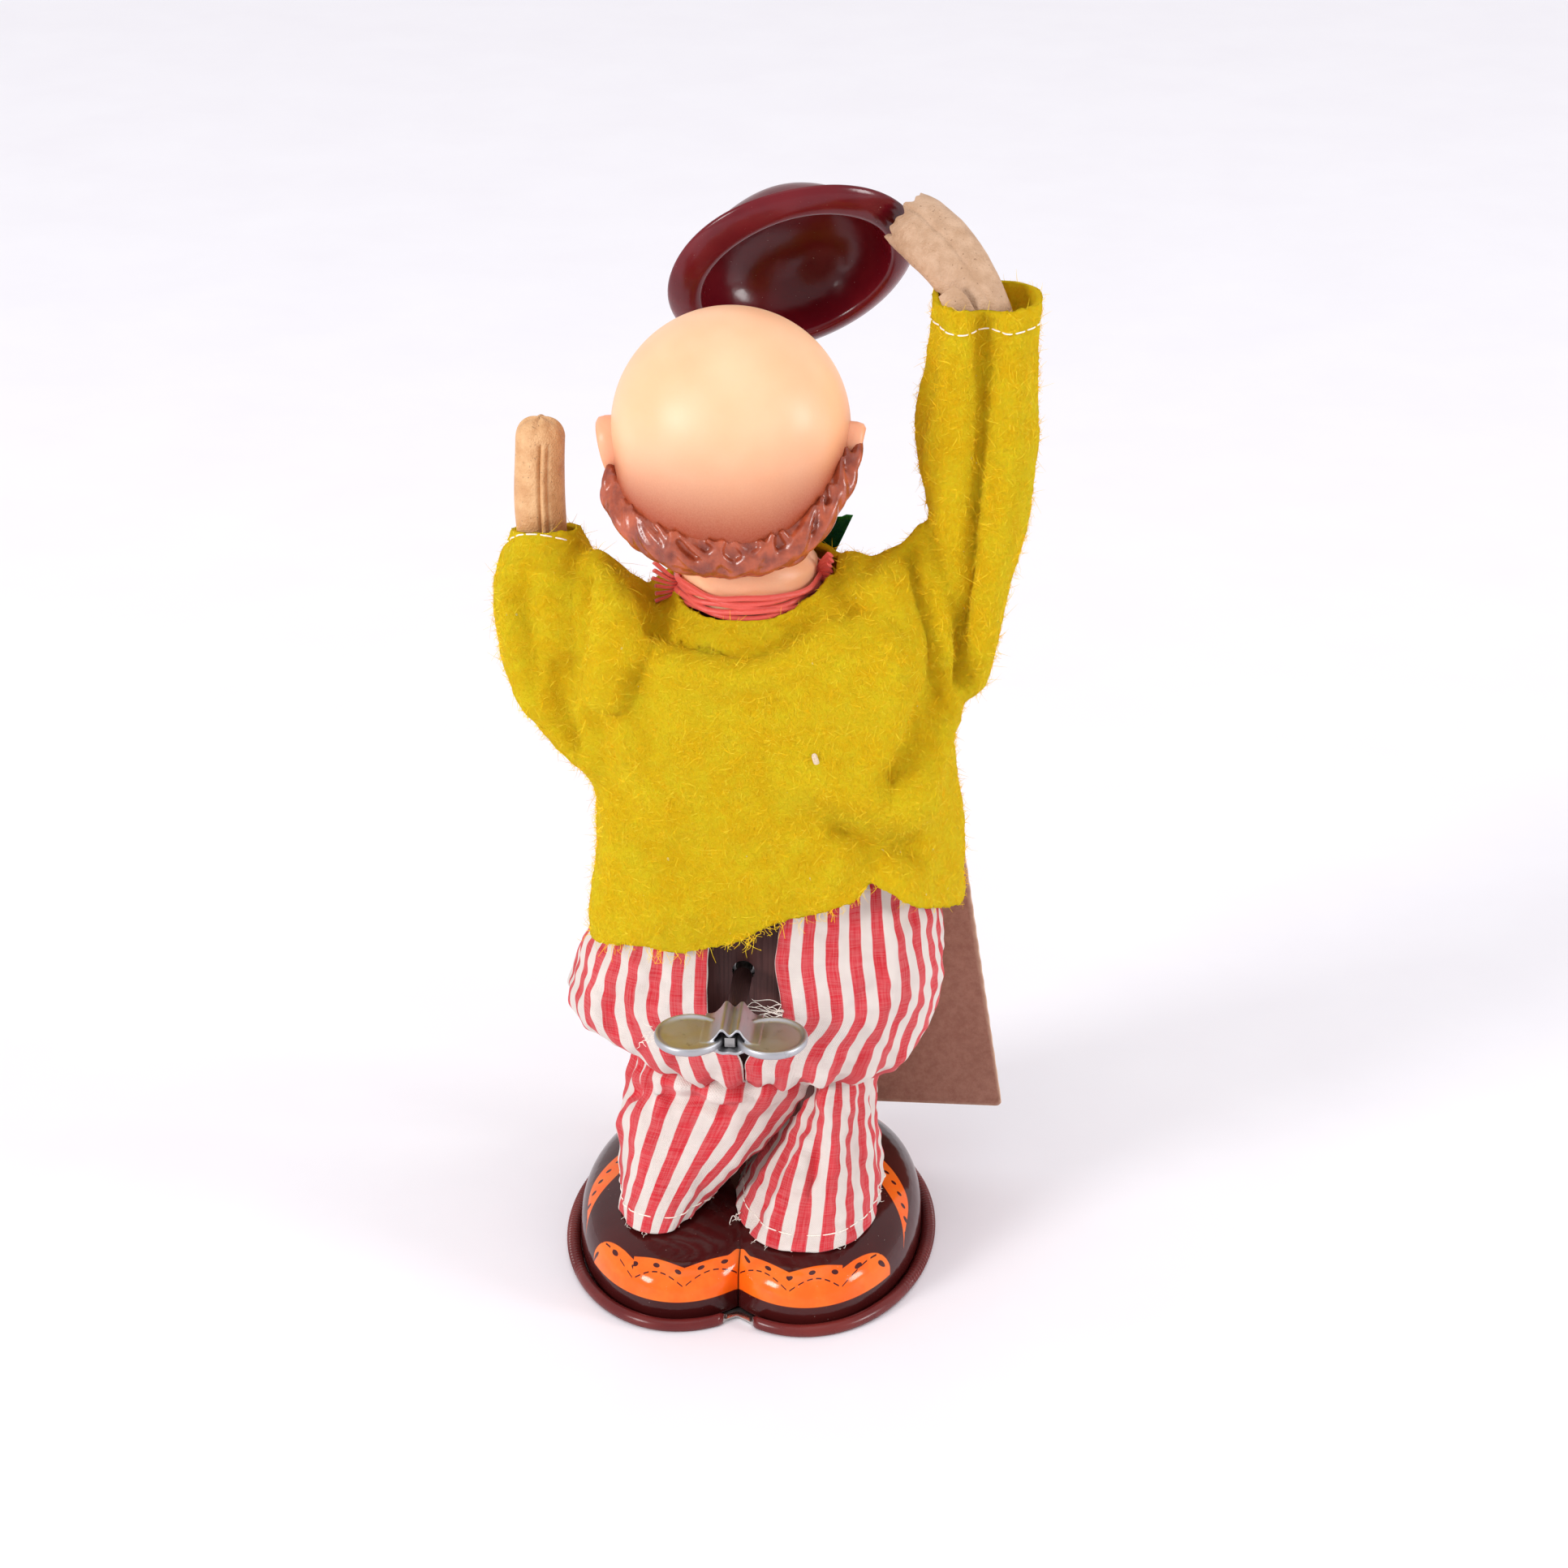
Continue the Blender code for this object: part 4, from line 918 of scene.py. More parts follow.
def make_hair(looks):
    """A moulded fringe from ear to ear: a band under leaning, hooked locks, fused into one skin."""
    rng = np.random.default_rng(SEED)
    azimuth = np.linspace(-86, 90, 110)
    top, low = hair_edges(azimuth)
    span = np.linspace(0, 1, 12)
    rings = []
    for a, t, b in zip(azimuth, top, low):
        el = t + (b - t) * span
        outer = on_head(np.full(12, a), el, 0.1 + 1.5 * np.sin(span ** 1.2 * math.pi) ** 0.8)
        inner = on_head(np.full(12, a), el, np.full(12, -1.6))
        rings.append(np.vstack([outer, inner[::-1]]))
    parts = [lofted(rings)]
    count = 36
    for i in range(count):
        a0 = -83 + 171 * i / (count - 1) + rng.uniform(-1.2, 1.2)
        t, b = hair_edges(a0)
        lean = -np.sign(a0) * min(abs(a0) / 2.6, 15) * rng.uniform(0.8, 1.3)
        curl = rng.uniform(3.5, 6.5) if abs(a0) < 40 else rng.uniform(1.2, 2.6)
        span = np.linspace(-0.06, 1.0, 26)
        across = lean * span + curl * np.sin(span * math.pi * 1.9 + i * 1.3)
        whole = np.clip(span, 0, 1)
        lift = 0.3 + 2.0 * np.sin(whole ** 1.1 * math.pi) ** 0.8 + rng.uniform(-0.3, 0.7)
        path = on_head(a0 + across / math.cos(math.radians(t)), t + (b - t) * span, lift)
        radii = (0.4 + 0.95 * np.sin(np.clip(whole * 0.9 + 0.06, 0, 1) * math.pi)) * rng.uniform(0.8, 1.25)
        parts.append(tube(path, radii, 10))
    for i in range(9):
        a0 = -36 + 9.5 * i + rng.uniform(-2, 2)
        t, b = hair_edges(a0)
        turn = np.linspace(0, 1.5 * math.pi, 22) * (1 if i % 2 else -1) + rng.uniform(0, 6)
        size = np.linspace(5.6, 2.4, 22)
        path = on_head(a0 + 1.7 * size * np.cos(turn), (t + b) / 2 + size * np.sin(turn), np.linspace(2.0,
                                3.0, 22))
        parts.append(tube(path, np.linspace(0.7, 1.0, 22), 10))
    points, faces = fused(parts, 0.4, 2)
    hair = put("hair_fringe", points, faces, looks["hair"], "head", "skin", sharp=0)
    hair.data.shade_smooth()
    for side in (-1, 1):
        across, path = np.linspace(-8, 8, 16), []
        spots = np.array([face_spot(side * 17 + a, 10.5 + 2.2 * math.cos(a / 8 * 1.2)) for a in across])
        path = HEAD + spots * (HEAD_R + 0.55)
        points, faces = tube(path, 0.75 * np.sin(np.linspace(0.25, 2.9, 16)) + 0.1, 10, 0.5, normal=spots)
        name = "left_brow" if side > 0 else "right_brow"
        put(name, points, faces, looks["hair"], "head", "skin")


def make_face_paint(looks):
    """Eyes: a shallow white dome with a painted iris and pupil, under a lid."""
    for side, name in ((1, "left_eye"), (-1, "right_eye")):
        spot = face_spot(side * 17, 0)
        centre = HEAD + spot * (HEAD_R - 1.0)
        side_way = np.cross((0, 0, 1), spot)
        side_way /= np.linalg.norm(side_way)
        up = np.cross(spot, side_way)
        rings = []
        for height, size in ((-1.0, 1.0), (0.4, 1.0), (0.75, 0.92), (1.05, 0.75), (1.25, 0.5), (1.35, 0.25),
                             (1.38, 0.02)):
            turn = np.linspace(0, 2 * math.pi, 48, endpoint=False)
            rings.append(centre + spot * height + np.outer(np.cos(turn) * 3.3 * size, side_way)
                         + np.outer(np.sin(turn) * 2.3 * size, up))
        points, faces = lofted(rings)
        eye = put(name, points, faces, looks["eye"], "head", "skin", sharp=70)
        p = points_of(eye) - centre
        reach = np.hypot(p @ side_way, p @ up)
        mark(eye, "reach", reach)
        lid = [centre + spot * (0.9 + 0.35 * math.cos(a)) + side_way * 3.7 * math.sin(a)
               + up * (2.5 * math.cos(a) + 0.1) for a in np.linspace(-1.5, 1.5, 24)]
        points, faces = tube(lid, 0.55 * np.cos(np.linspace(-1.3, 1.3, 24)) + 0.12, 10)
        skin = put(name + "_lid", points, faces, looks["skin"], "head", "skin")
        for mark_name, value in (("shade", 0.35), ("blush", 0.4), ("lips", 0.0)):
            mark(skin, mark_name, np.full(len(skin.data.vertices), value))


def eye_look():
    look = Look("painted_eye", {"Roughness": 0.15, "Coat Weight": 0.5})
    reach = look.value("reach")
    grain = look.noise(look.place(), 1.5, 3.0)
    white = look.mix(grain, rgb(245, 240, 232), rgb(250, 246, 240))
    iris = look.mix(grain.smooth(0.3, 0.7), rgb(70, 104, 128), rgb(110, 146, 164))
    colour = look.mix(reach.smooth(1.7, 1.55), white, iris)
    colour = look.mix(reach.near(1.62, 0.0) * reach.smooth(1.45, 1.6), colour, rgb(40, 50, 60))
    look.set({"Base Color": look.mix(reach.smooth(0.85, 0.7), colour, rgb(14, 12, 12))})
    return look


# ---------------------------------------------------------------- hat and key

def make_hat(looks):
    dome = np.radians(np.linspace(8, 88, 30))
    outer = [(BOWL_H * math.sin(a), (BOWL_R + 0.8) * math.cos(a) ** 0.8) for a in dome]
    inner = [((BOWL_H - 0.8) * math.sin(a), BOWL_R * math.cos(a) ** 0.8 - 0.02) for a in dome[::-1]]
    brim = [(0.9, -0.05), (-0.3, 0.0), (-1.2, 0.25), (-1.65, 0.9), (-1.7, 1.8), (-1.45, 3.0), (-1.0, 4.2),
            (-0.35, 5.3), (0.45, 6.2), (1.2, 6.8), (1.7, 7.0), (2.0, 6.85), (2.0, 6.5), (1.5, 6.15), (0.8,
                                    5.7),
            (0.1, 4.9), (-0.5, 3.8), (-0.85, 2.7), (-0.95, 1.9), (-0.6, 1.2), (0.2, 0.85)]
    brim = [(height, BOWL_R + out) for height, out in brim]
    hat = turned("bowler_hat", HAT, HAT_UP, inner + brim + outer, looks["hat"], 192,
                 body="hat_arm", slot="hat_tin", sharp=75)
    side, up, d = frame_of(HAT_UP)
    p = points_of(hat) - np.array(HAT)
    angle = np.arctan2(p @ up, p @ side)
    reach = np.hypot(p @ side, p @ up)
    saddle = np.clip((reach - BOWL_R) / 7, 0, 1) ** 1.5 * np.cos(2 * (angle - 0.4)) * 0.6
    dents = 0.12 * np.sin(angle * 5 + 1) * np.sin(p @ d * 0.4)
    move_points(hat, points_of(hat) + d * (saddle + dents)[:, None])
    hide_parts("hat")


def make_key(looks):
    """Winding key: two pressed wings with raised rims, folded over a square hub."""
    centre_y, wing_x, rx, ry = -47.9, 8.7, 7.5, 8.2
    parts = []
    for side in (1, -1):
        turns = np.linspace(0, 2 * math.pi, 96, endpoint=False)
        rings = []
        for z, size in ((-0.5, 0.0), (-0.5, 0.86), (-0.75, 0.92), (-0.8, 0.97), (-0.3, 1.0), (0.45, 1.0),
                        (0.95, 0.97), (1.0, 0.92), (0.6, 0.86), (0.35, 0.80), (0.3, 0.0)):
            x = side * (wing_x + rx * np.cos(turns) * size)
            y = centre_y + ry * np.sin(turns) * size
            rings.append(np.column_stack([x, y, KEY_Z + z + 0 * x]))
        rings[0] += 0.001 * (rings[1] - rings[0].mean(axis=0))
        rings[-1] += 0.001 * (rings[-2] - rings[-1].mean(axis=0))
        parts.append(lofted(rings))
    upper = [(-6.2, 0.1), (-4.4, 0.3), (-3.1, 1.5), (-1.7, 3.3), (0.0, 1.95), (1.7, 3.3), (3.1, 1.5),
             (4.4, 0.3),
             (6.2, 0.1)]
    lower = [(-6.2, -0.1), (-4.4, -0.3), (-3.0, -0.9), (-1.5, -1.5), (0.0, -1.3), (1.5, -1.5), (3.0, -0.9),
             (4.4, -0.3), (6.2, -0.1)]
    for y0, y1, outline in ((-51.4, -38.4, upper), (-52.6, -41.0, lower)):
        rings = []
        for x, z in smooth_line(outline, 49):
            rings.append(np.array([(x, y0, KEY_Z + z - 0.35), (x, y0, KEY_Z + z + 0.35),
                                   (x, y1, KEY_Z + z + 0.35), (x, y1, KEY_Z + z - 0.35)]))
        parts.append(lofted(rings))
    points, faces = fused(parts, 0.22, 2)
    key = put("winding_key", points, faces, looks["chrome"], "key_set", "chrome", sharp=0)
    key.data.shade_smooth()
    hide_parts("key")
    square = []
    for y, size in ((-50.4, 1.25), (-50.9, 1.05), (-38.0, 1.25)):
        square.append([(sx * size, y, KEY_Z + 0.3 + sz * size) for sx, sz in ((-1, -1), (1, -1), (1, 1),
                                (-1, 1))])
    rings = [square[1], square[0], square[2]]
    points, faces = lofted(np.array(rings))
    put("key_shaft_end", points, faces, looks["steel"], "key_set", "chrome", sharp=30)


# ---------------------------------------------------------------- jacket

def oval(z, x0, x1, y0, y1, power=2.3, count=72):
    turns = np.linspace(0, 2 * math.pi, count, endpoint=False)
    c, s = np.cos(turns), np.sin(turns)
    x = (x0 + x1) / 2 + (x1 - x0) / 2 * np.sign(c) * np.abs(c) ** (2 / power)
    y = (y0 + y1) / 2 + (y1 - y0) / 2 * np.sign(s) * np.abs(s) ** (2 / power)
    return np.column_stack([x, y, 0 * x + z])


def ovals(sections, power=2.3):
    return lofted([oval(*section, power) for section in sections])


def jacket_hem(x, y):
    """Height of the jacket's lower edge: dipping at the left and notched over the right hip behind."""
    rear = np.interp(x, [-37, -25, -12, 0, 8, 17, 25, 28.4, 33, 40, 47],
                     [79, 84, 84.4, 88.6, 93, 95.5, 98, 102, 97.5, 93, 88])
    front = 84.0 + 3.0 * np.sin(x / 14)
    share = np.clip((y + 12) / 24, 0, 1)
    return rear * (1 - share) + front * share


def trim_hem(jacket):
    """Cut the felt off along its lower edge, a little unevenly."""
    bm = bmesh.new()
    bm.from_mesh(jacket.data)
    gone = []
    for face in bm.faces:
        c = face.calc_center_median() / MM
        if c.z < jacket_hem(c.x, c.y):
            gone.append(face)
    bmesh.ops.delete(bm, geom=gone, context="FACES")
    rims = {v for e in bm.edges if e.is_boundary for v in e.verts}
    for vert in rims:
        c = np.array(vert.co) / MM
        vert.co.z = (jacket_hem(c[0], c[1]) + 0.3 * ripple(c[None], 6.0, 8)[0]) * MM
    bm.to_mesh(jacket.data)
    bm.free()


def make_jacket(looks):
    body = ovals([(64, -36.8, 46.6, -30, 27.5), (86, -35.6, 46.6, -29.8, 26.5), (98, -34.4, 46.2, -28.8,
                            25.5),
                  (108, -34.0, 45.2, -27.6, 25), (117, -33.8, 44.3, -26.8, 24.5), (126, -33.4, 44.2,
                                          -26.0, 24),
                  (136, -33, 44.2, -25.4, 24), (146, -32.0, 43.0, -24.4, 23), (152, -27, 40.0, -23, 22),
                  (156, -21, 34, -20.0, 19.5), (159.0, -17.2, 19.0, -16.8, 16.8), (163.5, -15.4, 15.8,
                                          -15.4, 15.4)])
    left = ovals([(112, -34, -22, -10, 12), (117, -36.6, -22, -13, 15), (122, -41, -22, -14.5, 17),
                  (128, -46.8, -22, -15, 19), (134, -50.4, -22, -15, 20), (141, -53.4, -23, -14.5, 20),
                  (150, -54.8, -25, -13.5, 17), (157, -55.2, -29.0, -12, 15), (161, -53.9, -32, -9.5, 14.0),
                  (165.5, -51.8, -34.5, -6.5, 13.0), (169, -50.6, -36.5, -3.5, 12.5), (175, -50.6, -38.4,
                                          -1.0, 12.5)])
    right = ovals([(128, 36, 45.5, -8, 14), (136, 32, 46.4, -12, 18), (146, 27, 47, -14, 19),
                   (154, 21, 46, -13.5, 17), (159, 17.8, 44, -11, 11), (162.5, 19.0, 41.5, -8.5, 6),
                   (165.5, 23.5, 40, -5, 3), (168.5, 31.0, 39.5, -1, 4), (173, 35.0, 39, 2, 5)])
    fore = ovals([(134.5, 44.5, 49.0, -1.5, 6.5), (138, 42.4, 51.0, -5.0, 10), (144, 41.0, 52.8, -6.5, 14),
                  (150, 40.4, 53.8, -7.0, 16), (158, 40.6, 55.6, -6.5, 18), (166, 39.8, 57.8, -5.5, 20),
                  (174, 37.3, 59.5, -3.5, 22.5), (182, 34.8, 60.2, -1, 25), (190, 33.3, 60.4, 2, 27.5),
                  (196, 33.7, 60.2, 4.5, 28.5), (203, 35.3, 60.1, 7, 29.5), (210, 36.5, 60.2, 9.5, 30.5),
                  (218, 36.8, 60.3, 11.5, 31.5), (225, 36.8, 60.3, 13.5, 33.5)])
    shoulder = ovals([(138, -38, -18, -20, 14), (150, -37.5, -17, -21.5, 8), (157, -37, -19, -18.5, 3),
                      (161, -36.5, -24, -14, 1), (164.5, -35.5, -28, -9.5, 0), (167, -34, -31, -5, -1)])
    points, faces = fused([body, left, shoulder, right, fore], 0.9, 10)
    jacket = put("jacket", points, faces, looks["felt"])
    trim_hem(jacket)
    slice_off(jacket, (0, 0, 160.6), (0, 0, 1), lambda c: abs(c.x) < 18 and abs(c.y) < 18 and c.z > 156)
    slice_off(jacket, (-44.5, 5, 168.6), (-0.06, 0.26, 1), lambda c: c.x < -36 and c.z > 158)
    slice_off(jacket, (48.5, 21, 217.4), (0.0, -0.03, 1), lambda c: c.z > 200)
    p = points_of(jacket)
    round_neck = np.hypot(p[:, 0], p[:, 1])
    collar = np.clip((26 - round_neck) / 9, 0, 1) * np.clip((p[:, 2] - 148) / 10, 0, 1)
    rise = 157.6 + np.where(p[:, 0] > 0, 0.018, 0.004) * p[:, 0] ** 2 + 0.16 * np.maximum(0, p[:, 1] + 15)
    p[:, 2] += (rise - 160.6) * collar
    move_points(jacket, p)
    sculpt(jacket, [
        ([(-21, -15, 157), (-14, -19.5, 154), (-1, -22.5, 152.5), (9, -20.5, 154.5), (15.5, -15, 158)],
            3.0, -3.0),
        ([(-29, -10, 161), (-23, -16, 155), (-14, -22, 150), (-1, -25, 148.6), (10, -23, 151), (18, -17,
                                156)],
         3.4, 2.6),
        ([(-33.3, -12, 166), (-36, -17, 158), (-38.4, -18, 146.7), (-38.8, -17, 136), (-36, -16, 127)],
            3.2, -3.8),
        ([(-28.4, -14, 164), (-27, -20, 154), (-28, -22, 142), (-28, -23, 130)], 5.0, 2.6),
        ([(-47, -9, 161), (-46, -14, 152), (-45, -15, 140)], 3.6, -2.0),
        ([(-51, -10, 156), (-51, -12, 146), (-48, -12, 134)], 3.6, 1.6),
        ([(-53, -4, 163.5), (-45, -9, 164.5), (-37, -9, 163)], 1.6, 1.0),
        ([(34.5, -2, 167), (36, -7, 161), (38.5, -10, 153), (41, -14, 145), (43, -12, 138)], 2.6, -4.4),
        ([(27, -12, 164), (30, -18, 154), (33, -21, 143), (31, -25, 131)], 4.6, 3.2),
        ([(41, -15, 140), (38.5, -21, 132), (34, -25, 124)], 3.4, -3.8),
        ([(44, -10, 130), (42, -18, 122), (38, -24, 116)], 3.4, 1.8),
        ([(36, -20, 107), (31, -23, 108.5), (27, -25, 110), (22, -26, 113)], 3.8, -4.8),
        ([(41, -22, 119), (32, -27, 121), (23, -29, 123), (14, -29, 126)], 5.0, 3.4),
        ([(22, -30, 109), (18.5, -30, 103), (17, -30, 97)], 4.4, 2.6),
        ([(28.5, -25, 101), (28.5, -25, 106)], 2.8, -1.6),
        ([(36, -27, 105), (38, -27, 99), (41, -26, 93)], 4.5, 2.6),
        ([(-4, -29, 104), (-12, -30, 96), (-22, -29, 91)], 6.0, 1.6),
        ([(-30, -22, 116), (-20, -27, 109), (-8, -29, 106), (4, -29, 108)], 5.0, -1.6),
        ([(-31, -20, 106), (-32, -18, 96), (-33, -16, 86)], 5.0, 1.2),
        ([(48.6, 13.0, 224), (48.8, 9.6, 211), (48.9, 7.4, 203), (48.9, 3.0, 193), (47.6, -2.4, 177),
          (46.8, -5.4, 165), (45.8, -6.8, 152), (44.2, -6.0, 141)], 2.1, -4.6),
        ([(43.0, 12.4, 216), (42.5, 7.0, 200), (42.5, 2.5, 188), (42.8, -3.0, 172)], 3.5, 1.6),
        ([(54.5, 10, 208), (54.5, 4.0, 192), (52.5, -2, 174), (50.0, -6, 158), (49, -6, 146)], 3.5, 1.6),
        ([(57, 12, 182), (56, 8, 172), (52, 3, 163)], 3.0, -1.6),
        ([(36, 12, 206), (35, 9, 196), (34, 10, 188)], 3.0, -1.2),
        ([(48.8, 11, 219), (48.8, 9, 213), (48.8, 6, 206)], 2.6, -2.6),
    ], snap=True)
    p, n = points_of(jacket), normals_of(jacket)
    low = np.clip((130 - p[:, 2]) / 45, 0, 1)
    flutter = 1.2 * low * np.sin(np.arctan2(p[:, 1], p[:, 0] - 5) * 7 + 0.6)
    lumps = 0.45 * ripple(p, 24.0, 3) + 0.22 * ripple(p, 11.0, 4)
    move_points(jacket, p + n * (lumps + flutter)[:, None])
    soften(jacket, 4)
    p, n = points_of(jacket), normals_of(jacket)
    move_points(jacket, p + n * (0.10 * ripple(p, 4.0, 5) + 0.07 * ripple(p, 2.4, 6))[:, None])
    surface = (points_of(jacket), normals_of(jacket), [tuple(f.vertices) for f in jacket.data.polygons])
    open_front(jacket)
    use_modifier(jacket, "SOLIDIFY", thickness=1.3 * MM, offset=-1.0, use_rim=True, use_even_offset=False)
    keep_rest(jacket)
    split_jacket(jacket, looks)
    make_nap(looks, surface)
    make_stitches(looks, surface)
    make_lint(looks, surface)


def open_front(jacket):
    """The gap in the jacket's front that the sign's bracket comes through."""
    bm = bmesh.new()
    bm.from_mesh(jacket.data)
    for point, way in (((8, 0, 0), (1, 0, 0)), ((28, 0, 0), (1, 0, 0)), ((0, 0, 103), (0, 0, 1))):
        faces = [f for f in bm.faces
                 if f.calc_center_median().y > 12 * MM and f.calc_center_median().z < 108 * MM]
        geom = list({v for f in faces for v in f.verts}) + list({e for f in faces for e in f.edges}) + faces
        bmesh.ops.bisect_plane(bm, geom=geom, plane_co=Vector(point) * MM, plane_no=Vector(way))
    gone = []
    for face in bm.faces:
        c = face.calc_center_median() / MM
        if 8 < c.x < 28 and c.z < 103 and c.y > 12:
            gone.append(face)
    bmesh.ops.delete(bm, geom=gone, context="FACES")
    bm.to_mesh(jacket.data)
    bm.free()


def split_jacket(jacket, looks):
    """Part the felt at the shoulders into the jacket and two sleeve pieces."""
    points = points_of(jacket)
    x, z = points[:, 0], points[:, 2]
    left_point = (x < -36.0) & (z > 108)
    right_point = ((x > 38.0) & (z > 133)) | (z > 173)
    pieces = {"jacket_back_and_front": [], "left_sleeve_felt": [], "right_sleeve_felt": []}
    for face in jacket.data.polygons:
        ids = list(face.vertices)
        if all(left_point[ids]):
            pieces["left_sleeve_felt"].append(ids)
        elif all(right_point[ids]):
            pieces["right_sleeve_felt"].append(ids)
        else:
            pieces["jacket_back_and_front"].append(ids)
    normals = normals_of(jacket)
    for name, faces in pieces.items():
        used = np.unique(np.concatenate([np.array(f) for f in faces]))
        index = np.full(len(points), -1)
        index[used] = np.arange(len(used))
        piece = put(name, points[used], [tuple(index[f]) for f in faces], looks["felt"], sharp=0)
        piece.data.shade_smooth()
        keep_rest(piece)
        piece.data.normals_split_custom_set_from_vertices([tuple(n) for n in normals[used]])
        if name == "jacket_back_and_front":
            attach(piece, "toy_body")
            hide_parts("jacket_body")
        elif name == "left_sleeve_felt":
            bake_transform(piece)
            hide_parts("left_sleeve")
        else:
            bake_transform(piece)
            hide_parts("right_sleeve")
    bpy.data.objects.remove(jacket)


def make_nap(looks, surface):
    """Loose wool fibres that stand off the felt, in three pieces that move with the felt under them."""
    rng = np.random.default_rng(SEED + 2)
    points, normals, faces = surface
    corners = np.array([face[:3] for face in faces])
    a, b, c = points[corners[:, 0]], points[corners[:, 1]], points[corners[:, 2]]
    area = np.linalg.norm(np.cross(b - a, c - a), axis=1)
    count = 22000
    chosen = rng.choice(len(corners), count, p=area / area.sum())
    u, v = rng.uniform(0, 1, (2, count, 1))
    flip = (u + v) > 1
    u, v = np.where(flip, 1 - u, u), np.where(flip, 1 - v, v)
    roots = a[chosen] + (b - a)[chosen] * u + (c - a)[chosen] * v
    out = normals[corners[chosen, 0]]
    loose = rng.normal(size=(count, 3))
    loose -= out * (loose * out).sum(axis=1)[:, None]
    loose /= np.linalg.norm(loose, axis=1)[:, None]
    rise = rng.uniform(0.2, 1.1, (count, 1))
    ways = loose + out * rise
    ways /= np.linalg.norm(ways, axis=1)[:, None]
    lengths = rng.uniform(1.0, 2.9, count) * rng.choice([1.0, 1.8], count, p=[0.93, 0.07])
    bend = (rng.normal(size=(count, 3)) * 0.45 - out * 0.5) * lengths[:, None] * 0.6
    roots = roots - out * 0.25
    opening = (np.abs(roots[:, 0] - 18) < 11) & (roots[:, 2] < 104) & (roots[:, 1] > 12)
    left = (roots[:, 0] < -36.0) & (roots[:, 2] > 108)
    right = ((roots[:, 0] > 38.0) & (roots[:, 2] > 133)) | (roots[:, 2] > 173)
    for name, here in (("jacket_nap", ~(left | right | opening)), ("left_sleeve_nap", left),
                       ("right_sleeve_nap", right)):
        made = fibres(roots[here], ways[here], lengths[here], 0.07, bend[here])
        nap = put(name, *made, looks["nap"], slot="felt", sharp=0)
        if name == "jacket_nap":
            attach(nap, "toy_body")
        elif name == "left_sleeve_nap":
            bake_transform(nap)
        else:
            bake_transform(nap)


def ring_on(tree, centre, height, slope, count):
    """Points and normals where rays towards an upright axis first meet a surface."""
    spots, outs = [], []
    for turn in np.linspace(0, 2 * math.pi, count, endpoint=False):
        way = Vector((math.cos(turn), math.sin(turn), 0.0))
        start = Vector((centre[0], centre[1], 0.0)) + way * 22.0
        start.z = height + slope * (start.y - centre[1])
        spot, out, _, _ = tree.ray_cast(start, -way, 22.0)
        if spot:
            spots.append(spot)
            outs.append(out)
    return np.array(spots), np.array(outs)


def stitched(spots, outs, step=3.3, length=2.5, radius=0.17):
    """A row of thread stitches along points on a surface."""
    reach = np.concatenate([[0], np.cumsum(np.linalg.norm(np.diff(spots, axis=0), axis=1))])
    parts = []
    for start in np.arange(0.4, reach[-1] - length, step):
        at = np.linspace(start, start + length, 7)
        path = np.column_stack([np.interp(at, reach, spots[:, k]) for k in range(3)])
        out = np.column_stack([np.interp(at, reach, outs[:, k]) for k in range(3)])
        lift = 0.3 * np.sin(np.linspace(0, math.pi, 7)) - 0.12
        parts.append(tube(path + out * lift[:, None], radius, 6))
    return joined(parts)


def make_stitches(looks, surface):
    """White thread rows round both cuffs."""
    tree = BVHTree.FromPolygons(surface[0].tolist(), surface[2])
    spots, outs = ring_on(tree, (-44.6, 5.5), 164.2, -0.26, 90)
    outer = spots[:, 0] < -37.5
    left = stitched(spots[outer], outs[outer])
    thread = put("left_cuff_stitches", *left, looks["thread"], slot="cotton", sharp=0)
    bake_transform(thread)
    right = stitched(*ring_on(tree, (48.5, 20.5), 213.0, 0.03, 120))
    thread = put("right_cuff_stitches", *right, looks["thread"], slot="cotton", sharp=0)
    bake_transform(thread)


def loose_threads(name, roots, ways, spread, looks, look, body, seed, radius=0.1, slot="cotton"):
    """Frayed ends: thin curling tubes from each root, about as long as its way."""
    rng = np.random.default_rng(seed)
    parts = []
    for root, way in zip(np.asarray(roots, float), np.asarray(ways, float)):
        size = np.linalg.norm(way)
        wobble = rng.normal(size=(4, 3)) * size * spread
        wobble[0] = 0
        path = smooth_line([root + way * t + w for t, w in zip(np.linspace(0, 1, 4), wobble)], 14)
        parts.append(tube(path, np.linspace(radius, radius * 0.5, 14), 5))
    piece = put(name, *joined(parts), looks[look], body, slot, sharp=0)
    piece.data.shade_smooth()
    return piece


